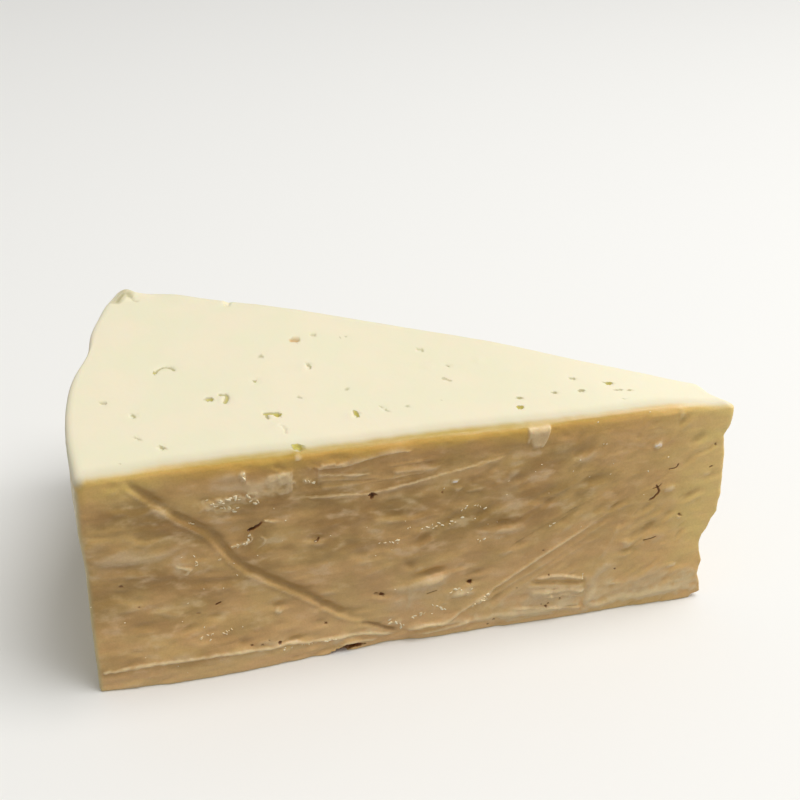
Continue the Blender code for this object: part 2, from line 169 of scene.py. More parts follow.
@dataclass(frozen=True)
class WheelCut:
    """The plan of the wedge and the rounding of its edges, from the wheel and the cuts across it.

    back_waves are where the back cut bows out further: the share of its length, half width and height.
    """

    wheel_radius: float = 180.0
    height: float = 62.0
    cut_angle: float = 31.3
    meet_to_front_rim: float = 175.2
    meet_to_back_rim: float = 186.8
    meet_to_front_tip: float = 11.9
    meet_to_back_tip: float = 21.6
    back_bow: float = 7.6
    bow_skew: float = 0.74
    back_waves: tuple[tuple[float, float, float], ...] = ((0.1, 0.09, 0.7), (0.71, 0.1, 1.3))
    edge_round: float = 1.6
    foot_round: float = 0.6

    @property
    def back_outward(self) -> Array:
        """The direction that the back cut faces."""
        angle = math.radians(self.cut_angle)
        return np.array([math.sin(angle), math.cos(angle)])

    def on_back_cut(self, distance: float) -> Array:
        """A point of the straight back cut, by its distance from where the two cuts would meet."""
        angle = math.radians(self.cut_angle)
        return np.array([self.meet_to_front_rim - distance * math.cos(angle), distance * math.sin(angle)])

    @property
    def front_tip(self) -> Array:
        """The front corner of the blunt tip."""
        return np.array([self.meet_to_front_rim - self.meet_to_front_tip, 0.0])

    @property
    def length(self) -> float:
        """The length of the front cut."""
        return self.meet_to_front_rim - self.meet_to_front_tip

    @property
    def width(self) -> float:
        """The chord of the rim."""
        return float(np.linalg.norm(self.on_back_cut(self.meet_to_back_rim)))

    @property
    def tip_width(self) -> float:
        """The width of the blunt tip."""
        return float(np.linalg.norm(self.on_back_cut(self.meet_to_back_tip) - self.front_tip))

    def rim(self, depth: Array) -> Array:
        """Points of the wheel's rim.

        Args:
            depth: 0 at the front cut and 1 at the back cut.

        Returns:
            A row (along, back) for each depth.
        """
        chord = self.on_back_cut(self.meet_to_back_rim)
        half = self.width / 2
        inward = np.array([chord[1], -chord[0]]) / self.width
        centre = chord / 2 + inward * math.sqrt(self.wheel_radius**2 - half**2)
        turn = -2 * math.asin(half / self.wheel_radius) * depth
        cosine, sine = np.cos(turn), np.sin(turn)
        spoke = -centre
        swept = np.stack([spoke[0] * cosine - spoke[1] * sine, spoke[0] * sine + spoke[1] * cosine], axis=-1)
        return centre + swept

    def tip(self, depth: Array) -> Array:
        """Points of the blunt tip's line, from the front (0) to the back (1)."""
        back = np.broadcast_to(self.on_back_cut(self.meet_to_back_tip), (len(depth), 2))
        return mixed(np.broadcast_to(self.front_tip, back.shape), back, depth)

    def plan(self, run: Array, depth: Array) -> Array:
        """The plan of the wedge.

        Args:
            run: 0 at the rim and 1 at the tip.
            depth: 0 at the front cut and 1 at the back cut.

        Returns:
            A row (along, back) for each pair.
        """
        point = mixed(self.rim(depth), self.tip(depth), run)
        belly = self.back_bow * np.sin(math.pi * np.clip(run, 0.0, 1.0) ** self.bow_skew)
        for middle, half, height in self.back_waves:
            belly += height * bump(run, middle, half)
        return point + (belly * depth)[:, None] * self.back_outward

    def sizes(self, unit: Array) -> Array:
        """How large the wedge is through each point of the unit block.

        Args:
            unit: The points.

        Returns:
            A row (length, width, height) for each point.
        """
        run, depth = unit[:, 0], unit[:, 1]
        length = np.linalg.norm(self.tip(depth) - self.rim(depth), axis=1)
        far, close = self.plan(run, np.ones_like(run)), self.plan(run, np.zeros_like(run))
        width = np.linalg.norm(far - close, axis=1)
        return np.stack([length, width, np.full_like(run, self.height)], axis=-1)


class Side(Enum):
    """A side of the wedge: the block's axis that it closes, and at which end."""

    RIM = (0, 0)
    TIP = (0, 1)
    FRONT = (1, 0)
    BACK = (1, 1)
    FOOT = (2, 0)
    TOP = (2, 1)


@dataclass(frozen=True)
class Spacing:
    """The fine grid's spacing, in millimetres on the front cut and growing towards the back."""

    at_edge: float = 0.34
    edge_band: float = 2.04
    on_cut: float = 0.52
    at_back: float = 1.15
    growth: float = 1.012
    skips: dict[Side, tuple[int, int]] = field(
        default_factory=lambda: {
            Side.RIM: (2, 2),
            Side.TIP: (5, 1),
            Side.FRONT: (1, 1),
            Side.BACK: (3, 3),
            Side.FOOT: (7, 7),
            Side.TOP: (2, 2),
        }
    )

    def even_lines(self, length: float) -> Array:
        """Lines across an axis: close at both edges and even between them.

        Args:
            length: The axis's length in millimetres.

        Returns:
            Where each line crosses, from 0 to 1.
        """
        edge = np.arange(0.0, self.edge_band, self.at_edge)
        steps = round((length - 2 * self.edge_band) / self.on_cut)
        middle = np.linspace(self.edge_band, length - self.edge_band, steps + 1)
        return np.concatenate([edge, middle, (length - edge)[::-1]]) / length

    def back_lines(self, length: float) -> Array:
        """Lines from the front cut to the back cut, wider apart towards the back.

        Args:
            length: The distance between the cuts in millimetres.

        Returns:
            Where each line crosses, from 0 to 1.
        """
        lines = list(np.arange(0.0, self.edge_band, self.at_edge)) + [self.edge_band]
        step = self.on_cut
        while lines[-1] + step < length - self.edge_band:
            lines.append(lines[-1] + step)
            step = min(step * self.growth, self.at_back)
        edge = np.arange(0.0, self.edge_band, self.at_edge * 2)
        return np.concatenate([lines, (length - edge)[::-1]]) / length


@dataclass
class Block:
    """The unit block whose skin carries the fine grid, before it is shaped."""

    cut: WheelCut
    spacing: Spacing = field(default_factory=Spacing)

    def lines(self) -> list[Array]:
        """The grid's lines along, back and up."""
        return [
            self.spacing.even_lines(self.cut.length),
            self.spacing.back_lines(self.cut.width),
            self.spacing.even_lines(self.cut.height),
        ]

    def cells(self, side: Side, counts: Sequence[int]) -> Iterator[list[tuple[int, int, int]]]:
        """The cells of one side, each as the grid points round it.

        A side with wider cells still meets every grid point of its border, so that the sides join.

        Args:
            side: The side.
            counts: How many lines the grid has along, back and up.

        Yields:
            The grid points round each cell.
        """
        axis, end = side.value
        first, second = [other for other in range(3) if other != axis]
        level = (counts[axis] - 1) * end
        skip_first, skip_second = self.spacing.skips[side]
        across = sorted({*range(0, counts[first], skip_first), counts[first] - 1})
        along = sorted({*range(0, counts[second], skip_second), counts[second] - 1})

        def point(one: int, two: int) -> tuple[int, int, int]:
            """The grid point at two of its three places."""
            place = {axis: level, first: one, second: two}
            return place[0], place[1], place[2]

        turn_over = (axis == 1) == (end == 1)
        for low, high in zip(across, across[1:]):
            for near, far in zip(along, along[1:]):
                bottom = range(low, high) if near == 0 else (low,)
                right = range(near, far) if high == across[-1] else (near,)
                top = range(high, low, -1) if far == along[-1] else (high,)
                left = range(far, near, -1) if low == 0 else (far,)
                outline = [point(one, near) for one in bottom] + [point(high, two) for two in right]
                outline += [point(one, far) for one in top] + [point(low, two) for two in left]
                yield outline[::-1] if turn_over else outline

    def build(self) -> bmesh.types.BMesh:
        """Builds the skin.

        Returns:
            The whole skin as one closed mesh in the unit block.
        """
        lines = self.lines()
        counts = [len(line) for line in lines]
        skin = bmesh.new()
        known: dict[tuple[int, int, int], bmesh.types.BMVert] = {}
        for side in Side:
            for outline in self.cells(side, counts):
                corners = []
                for place in outline:
                    if place not in known:
                        known[place] = skin.verts.new([line[at] for line, at in zip(lines, place)])
                    corners.append(known[place])
                skin.faces.new(corners)
        return skin


# ---------------------------------------------------------------------------------------------------
# Marks on the cuts


class Mark(Enum):
    """How a stroke across a cut stands against it."""

    GROOVE = "pressed in, with a steep lower wall and the paste pushed up under it"
    CREASE = "a thin line between two standing lips"
    BEAD = "left standing"
    LEDGE = "proud below its line, so that its upper lip catches the light"
    FLAP = "proud above its line, so that it shades what is under it"
    SLIT = "a crack with sharp walls"


@dataclass(frozen=True)
class Spot:
    """A mark round one place: its middle, half sizes, height or depth, and its turn in degrees.

    On the top cut, "up" counts back from the front edge. The methods of a spot, like those of a stroke,
    take where places lie along and up, and give a value for each.
    """

    along: float
    up: float
    half_length: float
    half_height: float
    height: float
    turn: float = 0.0

    def offsets(self, along: Array, up: Array) -> tuple[Array, Array]:
        """How many half sizes places lie from its middle, along its own two axes."""
        one, two = turned(along - self.along, up - self.up, self.turn)
        return one / self.half_length, two / self.half_height


@dataclass(frozen=True)
class Swelling(Spot):
    """A soft rise (or, with a negative height, a hollow) on a cut."""

    def height_at(self, along: Array, up: Array) -> Array:
        """How far it stands out."""
        one, two = self.offsets(along, up)
        return self.height * np.exp(-(one**2) - two**2)


@dataclass(frozen=True)
class Press(Spot):
    """A dimple pressed into a cut, with the paste that it moved standing as a lip under it."""

    lip: float = 0.6
    LIP_LENGTH: ClassVar[float] = 1.3
    LIP_DROP: ClassVar[float] = 1.55
    LIP_WIDTH: ClassVar[float] = 0.75

    def height_at(self, along: Array, up: Array) -> Array:
        """How far it stands out.

        Args:
            along: Where the places lie along the cut.
            up: Where they lie up it.

        Returns:
            The height at each place.
        """
        one, two = self.offsets(along, up)
        pushed = np.exp(-(one**2) / self.LIP_LENGTH - ((two + self.LIP_DROP) / self.LIP_WIDTH) ** 2)
        return self.height * (self.lip * pushed - np.exp(-(one**2) - two**2))


@dataclass(frozen=True)
class Pit(Spot):
    """A pit with ragged crisp edges, and how dark its stain is."""

    stain: float = 0.8
    RAGGED: ClassVar[Lumps] = Lumps(0.45, (0.7, 0.7), 4.7)
    RAGGED_WITHIN: ClassVar[float] = 3.0
    STAIN_OUTSIDE: ClassVar[tuple[float, float]] = (0.5, 1.35)

    def reach_of(self, along: Array, up: Array) -> Array:
        """How far out places lie.

        Args:
            along: Where the places lie along the cut.
            up: Where they lie up it.

        Returns:
            0 at the pit's middle and 1 at its edge.
        """
        reach = np.hypot(*self.offsets(along, up))
        close = reach < self.RAGGED_WITHIN
        reach[close] += self.RAGGED.at(along[close], up[close])
        return reach

    def height_at(self, along: Array, up: Array) -> Array:
        """How far it lies in."""
        return -self.height * np.sqrt(np.clip(1 - self.reach_of(along, up) ** 2, 0.0, 1.0))

    def stain_at(self, along: Array, up: Array) -> Array:
        """How strongly it is stained."""
        return self.stain * (1 - rise(self.reach_of(along, up), *self.STAIN_OUTSIDE))


@dataclass(frozen=True)
class Smear(Spot):
    """Pale paste smeared over a cut, with a squarish ragged outline.

    rough is how ragged its outline is, soft how gently it thins out there, and taper how much wider it is
    at its top than in its middle. A crystal has a paleness over 1.
    """

    paleness: float = 0.5
    rough: float = 0.3
    soft: float = 0.22
    taper: float = 0.0
    COARSE: ClassVar[Lumps] = Lumps(1.0, (2.2, 2.2), 8.1)
    FINE: ClassVar[Lumps] = Lumps(0.5, (0.9, 0.9), 2.4)
    THICKNESS: ClassVar[Lumps] = Lumps(0.9, (1.9, 1.2), 15.2)
    RAGGED_WITHIN: ClassVar[float] = 2.5
    SQUARENESS: ClassVar[int] = 3
    EDGE: ClassVar[float] = 0.92

    def share_at(self, along: Array, up: Array) -> Array:
        """Where the smear is.

        Args:
            along: Where the places lie along the cut.
            up: Where they lie up it.

        Returns:
            1 on the smear and 0 off it.
        """
        one, two = self.offsets(along, up)
        one = one / np.clip(1 + self.taper * two, 0.3, 2.0)
        reach = (np.abs(one) ** self.SQUARENESS + np.abs(two) ** self.SQUARENESS) ** (1 / self.SQUARENESS)
        close = reach < self.RAGGED_WITHIN
        here = along[close], up[close]
        reach[close] += self.rough * (self.COARSE.at(*here) + self.FINE.at(*here))
        return 1 - rise(reach, self.EDGE - self.soft, self.EDGE + self.soft)

    def height_at(self, along: Array, up: Array) -> Array:
        """How far it stands out."""
        return self.height * self.share_at(along, up)

    def paleness_at(self, along: Array, up: Array) -> Array:
        """How pale it is: uneven, as its paste is thick and thin.

        Args:
            along: Where the places lie along the cut.
            up: Where they lie up it.

        Returns:
            The paleness at each place.
        """
        share = self.share_at(along, up)
        thick = share > 0
        share[thick] *= 1 + self.THICKNESS.at(along[thick], up[thick])
        return self.paleness * share


@dataclass(frozen=True)
class Stroke:
    """A long mark that follows a smooth curve through the points of its path.

    half is its half width, height how far it stands out or lies in, reach how far a ledge or flap
    carries, lip the height of the paste beside it, fades the shares of its length over which its two
    ends fade, ragged how far its line wavers, stain how dark it is, and pale how light its line is:
    painted highlight along it, with some dry paste.
    """

    path: tuple[tuple[float, float], ...]
    mark: Mark
    half: float
    height: float
    reach: float = 2.0
    lip: float = 0.0
    fades: tuple[float, float] = (0.15, 0.15)
    ragged: float = 0.1
    stain: float = 0.0
    pale: float = 0.0
    STEPS: ClassVar[int] = 8
    WAVERING: ClassVar[Lumps] = Lumps(1.0, (1.3, 1.3), 3.3)
    DRYNESS_AND_HIGHLIGHT: ClassVar[Lumps] = Lumps(1.1, (1.6, 1.6), 27.2)
    SHORTEST_FADE: ClassVar[float] = 1e-3

    def line(self) -> Array:
        """Draws the smooth curve.

        Returns:
            A row (along, up) for each of its points.
        """
        path = np.array(self.path, float)
        path = np.vstack([2 * path[0] - path[1], path, 2 * path[-1] - path[-2]])
        share = np.linspace(0.0, 1.0, self.STEPS, endpoint=False)[:, None]
        spans = []
        for before, start, end, after in zip(path, path[1:], path[2:], path[3:]):
            bend = 2 * before - 5 * start + 4 * end - after
            twist = 3 * start - before - 3 * end + after
            spans.append(start + 0.5 * ((end - before) * share + bend * share**2 + twist * share**3))
        return np.vstack([*spans, path[-2:-1]])

    def across(self, along: Array, up: Array) -> tuple[Array, Array]:
        """Where places lie against the curve.

        Args:
            along: Where the places lie along the cut.
            up: Where they lie up it.

        Returns:
            The distance from the curve, positive above it, and the share of its length.
        """
        line = self.line()
        nearest = np.full(along.shape, np.inf)
        side, share = np.ones_like(along), np.zeros_like(along)
        for number, (start, end) in enumerate(zip(line, line[1:])):
            step = end - start
            reached = (along - start[0]) * step[0] + (up - start[1]) * step[1]
            reached = np.clip(reached / (step @ step), 0, 1)
            aside, above = along - start[0] - reached * step[0], up - start[1] - reached * step[1]
            distance = np.hypot(aside, above)
            closer = distance < nearest
            nearest = np.where(closer, distance, nearest)
            on_left = step[0] * above - step[1] * aside >= 0
            side = np.where(closer, np.where(on_left, 1.0, -1.0), side)
            share = np.where(closer, (number + reached) / (len(line) - 1), share)
        return nearest * side, share

    def profile(self, distance: Array) -> Array:
        """The height of the mark across its line.

        Args:
            distance: How far above the line each place lies.

        Returns:
            How far the mark stands out there.
        """
        if self.mark is Mark.BEAD:
            return self.height * np.exp(-((distance / self.half) ** 2))
        if self.mark is Mark.SLIT:
            return -self.height * np.clip(1.2 - np.abs(distance) / self.half, 0.0, 1.0)
        if self.mark is Mark.GROOVE:
            width = np.where(distance > 0, 1.25, 0.75) * self.half
            pushed = np.exp(-(((distance + 1.4 * self.half) / (0.45 * self.half)) ** 2))
            return self.lip * pushed - self.height * np.exp(-((distance / width) ** 2))
        if self.mark is Mark.CREASE:
            lips = np.exp(-(((np.abs(distance) - self.half) / (0.5 * self.half)) ** 2))
            return self.lip * lips - self.height * np.exp(-((distance / (0.45 * self.half)) ** 2))
        away = distance if self.mark is Mark.FLAP else -distance
        carried = np.exp(-np.maximum(away, 0.0) / self.reach)
        return self.height * rise(away, -self.half, self.half) * carried

    def shaped(self, along: Array, up: Array) -> Iterator[tuple[Array, Array, Array]]:
        """The mark's line against the places near it.

        Args:
            along: Where the places lie along the cut.
            up: Where they lie up it.

        Yields:
            Once, unless no place is near: which places are, their distances from the line, and how
            strong the mark is at each.
        """
        carried = 3 * self.reach if self.mark in (Mark.LEDGE, Mark.FLAP) else 0.0
        close = self.boxed(along, up, 3.5 * self.half + carried)
        if close.any():
            distance, share = self.across(along[close], up[close])
            distance = distance + self.ragged * self.WAVERING.at(along[close], up[close])
            start, end = (max(fade, self.SHORTEST_FADE) for fade in self.fades)
            begun = rise(share, -self.SHORTEST_FADE, start)
            yet_to_end = rise(1 - share, -self.SHORTEST_FADE, end)
            yield close, distance, begun * yet_to_end

    def boxed(self, along: Array, up: Array, margin: float) -> Array:
        """Which places lie in the box round the path, with a margin."""
        low, high = np.min(self.path, axis=0) - margin, np.max(self.path, axis=0) + margin
        return (along > low[0]) & (along < high[0]) & (up > low[1]) & (up < high[1])

    def passes(self, along: Array, up: Array, reach: float) -> Array:
        """Finds the places close to the curve.

        Args:
            along: Where the places lie along the cut.
            up: Where they lie up it.
            reach: How close they have to be.

        Returns:
            True for each place that is.
        """
        near = self.boxed(along, up, 2 * reach)
        distance, _ = self.across(along[near], up[near])
        near[near] = np.abs(distance) < reach
        return near

    def height_at(self, along: Array, up: Array) -> Array:
        """How far the mark stands out.

        Args:
            along: Where the places lie along the cut.
            up: Where they lie up it.

        Returns:
            The height at each place.
        """
        out = np.zeros_like(along)
        for close, distance, strength in self.shaped(along, up):
            out[close] = self.profile(distance) * strength
        return out

    def colour_at(self, amount: float, along: Array, up: Array) -> Array:
        """How strongly its line is coloured.

        Args:
            amount: How strongly in the middle of its width.
            along: Where the places lie along the cut.
            up: Where they lie up it.

        Returns:
            The strength at each place.
        """
        out = np.zeros_like(along)
        for close, distance, strength in self.shaped(along, up) if amount else ():
            inside = 1 - rise(np.abs(distance), 0.6 * self.half, 1.6 * self.half)
            out[close] = amount * inside * strength
        return out

    def stain_at(self, along: Array, up: Array) -> Array:
        """How strongly it is stained."""
        return self.colour_at(self.stain, along, up)

    def paleness_at(self, along: Array, up: Array) -> Array:
        """How pale it is, unevenly along its line: painted highlight, with some dry paste.

        Args:
            along: Where the places lie along the cut.
            up: Where they lie up it.

        Returns:
            The paleness at each place.
        """
        pale = self.colour_at(self.pale, along, up)
        marked = pale > 0
        pale[marked] *= 1 + self.DRYNESS_AND_HIGHLIGHT.at(along[marked], up[marked])
        return pale


@dataclass(frozen=True)
class Scatter:
    """Small dimples and rises strewn over a cut by a seeded draw."""

    seed: int
    count: int
    length: float
    height: float
    slope_at_rim: float = 3.0
    slope_at_tip: float = 36.0
    slope_reach: float = 130.0
    slope_spread: float = 12.0
    largest: tuple[float, float] = (3.4, 1.25)
    press_share: float = 0.6

    def slope(self, along: float) -> float:
        """How steeply the marks slant up: hardly near the rim, and more towards the tip."""
        share = min(along / self.slope_reach, 1.0) ** 2
        return self.slope_at_rim + (self.slope_at_tip - self.slope_at_rim) * share

    def marks(self) -> list[Swelling | Press]:
        """Draws the marks.

        Returns:
            The dimples and rises.
        """
        draw = np.random.default_rng(self.seed)
        made = []
        for _ in range(self.count):
            along, up = draw.uniform(0.0, self.length), draw.uniform(0.0, self.height)
            turn = self.slope(along) + draw.normal(0, self.slope_spread)
            size = draw.uniform(0.5, 1.0) ** 2
            half_length = self.largest[0] * size * draw.uniform(0.5, 1.2)
            half_height = self.largest[1] * size * draw.uniform(0.6, 1.3)
            strength = half_height * (0.95 + 0.12 * along / self.length)
            pressed = draw.random() < self.press_share
            height = (draw.uniform(0.16, 0.40) if pressed else draw.uniform(-0.18, 0.42)) * strength
            made.append((Press if pressed else Swelling)(along, up, half_length, half_height, height, turn))
        return made


@dataclass
class CutFace:
    """Everything that stands out from one long cut or is pressed into it.

    Its methods take where places lie along and up the cut, and give a value for each.
    """

    swellings: Sequence[Swelling | Press]
    strokes: Sequence[Stroke] = ()
    pits: Sequence[Pit] = ()
    smears: Sequence[Smear] = ()
    seed: float = 0.0
    thickest_paste: float = 0.8
    texture: tuple[Lumps, ...] = (
        Lumps(0.15, (5.2, 2.4), 1.9),
        Lumps(0.085, (1.9, 1.1), 6.1),
        Lumps(0.035, (0.9, 0.6), 9.3),
    )

    def relief(self, along: Array, up: Array) -> Array:
        """How far the cut's marks stand out.

        Args:
            along: Where the places lie along the cut.
            up: Where they lie up it.

        Returns:
            The height at each place.
        """
        marks = (*self.swellings, *self.strokes, *self.pits, *self.smears)
        out = sum(mark.height_at(along, up) for mark in marks)
        return sum((lumps.at(along, up, self.seed) for lumps in self.texture), out)

    def stain(self, along: Array, up: Array) -> Array:
        """How dark the pits and cracks are."""
        dark = (mark.stain_at(along, up) for mark in (*self.pits, *self.strokes))
        return np.clip(sum(dark, np.zeros_like(along)), 0.0, 1.0)

    def paleness(self, along: Array, up: Array) -> Array:
        """How pale the smears are, and the ridges with their painted highlight and some dry paste; the
        crystals palest of all.

        Args:
            along: Where the places lie along the cut.
            up: Where they lie up it.

        Returns:
            The paleness at each place, 1 on a crystal.
        """
        paste, crystals = np.zeros_like(along), np.zeros_like(along)
        for mark in (*self.smears, *self.strokes):
            kind = crystals if isinstance(mark, Smear) and mark.paleness > 1.0 else paste
            kind += mark.paleness_at(along, up)
        return np.clip(np.maximum(np.minimum(paste, self.thickest_paste), crystals), 0.0, 1.0)


def front_presses() -> tuple[Swelling | Press, ...]:
    """The broad dimples and rises of the front cut, from the rim to the tip."""
    return (
        Swelling(9.0, 39.0, 11.0, 3.2, 0.45, -2),
        Swelling(16.0, 29.0, 14.0, 2.6, -0.3, 2),
        Press(12.3, 17.6, 2.4, 1.0, 0.4),
        Press(23.0, 15.2, 2.2, 1.1, 0.6, 12),
        Press(26.8, 28.0, 3.6, 1.0, 0.25),
        Press(45.8, 18.4, 2.0, 1.0, 0.55),
        Swelling(38.0, 43.5, 7.0, 4.0, -0.5),
        Swelling(39.0, 55.0, 9.0, 2.2, 0.45),
        Swelling(50.0, 46.5, 7.0, 2.2, -0.5),
        Swelling(48.5, 28.2, 2.6, 0.7, 0.5, 3),
        Swelling(57.5, 19.8, 2.8, 0.8, 0.5, -2),
        Press(55.8, 36.9, 1.6, 1.0, 0.5, 8),
        Press(67.0, 30.3, 2.6, 1.6, 0.55),
        Press(74.7, 41.2, 3.9, 1.1, 0.7, -8),
        Press(82.4, 32.6, 2.6, 1.1, 0.65, 28),
        Press(79.2, 25.0, 1.1, 1.6, 0.6, 60),
        Press(84.4, 21.6, 4.4, 1.3, 0.8, 10, 0.9),
        Swelling(84.0, 18.2, 4.6, 1.7, 0.6, 12),
        Press(89.0, 27.5, 3.4, 1.0, 0.35, 20),
        Press(103.8, 33.8, 3.2, 1.3, 0.85, 0, 0.8),
        Swelling(104.8, 24.6, 2.6, 0.9, 0.5, 12),
        Press(97.0, 19.5, 3.0, 0.9, 0.5, 12),
        Press(95.4, 17.0, 2.0, 1.0, 0.6, 5),
        Press(71.6, 16.8, 2.2, 0.9, 0.5, -12),
        Swelling(76.0, 13.0, 4.0, 2.6, 0.45, 20),
        Swelling(92.8, 13.4, 3.4, 1.3, 0.5, 8),
        Swelling(117.0, 10.0, 9.5, 4.4, 0.6),
        Swelling(99.0, 10.4, 2.4, 1.2, 0.4, 35),
        Press(118.0, 57.8, 1.6, 0.8, 0.35),
        Press(126.8, 43.7, 3.4, 1.4, 0.6, 10),
        Press(134.0, 34.8, 2.2, 0.8, 0.5, 28),
        Press(120.0, 31.8, 2.0, 1.2, 0.4, 20, 0.9),
        Press(137.8, 19.9, 2.4, 1.0, 0.5, 10),
        Swelling(137.0, 22.7, 1.4, 0.6, 0.4, -10),
        Press(145.0, 26.0, 2.8, 1.6, 0.5, 12),
        Swelling(148.4, 38.0, 1.8, 0.9, 0.45),
        Swelling(146.4, 33.7, 1.0, 0.5, 0.35),
        Press(154.3, 52.4, 2.8, 1.6, 0.5, 35),
        Press(142.2, 32.6, 2.2, 1.0, 0.45, 40),
        Press(148.6, 29.4, 2.4, 1.0, 0.45, 40),
        Press(144.0, 26.8, 2.0, 0.9, 0.4, 40),
        Swelling(135.6, 9.2, 1.2, 0.4, 0.3),
        Swelling(148.0, 9.0, 8.0, 3.4, 0.45, 10),
        Press(140.0, 4.0, 7.0, 1.4, 0.3, 4),
    )


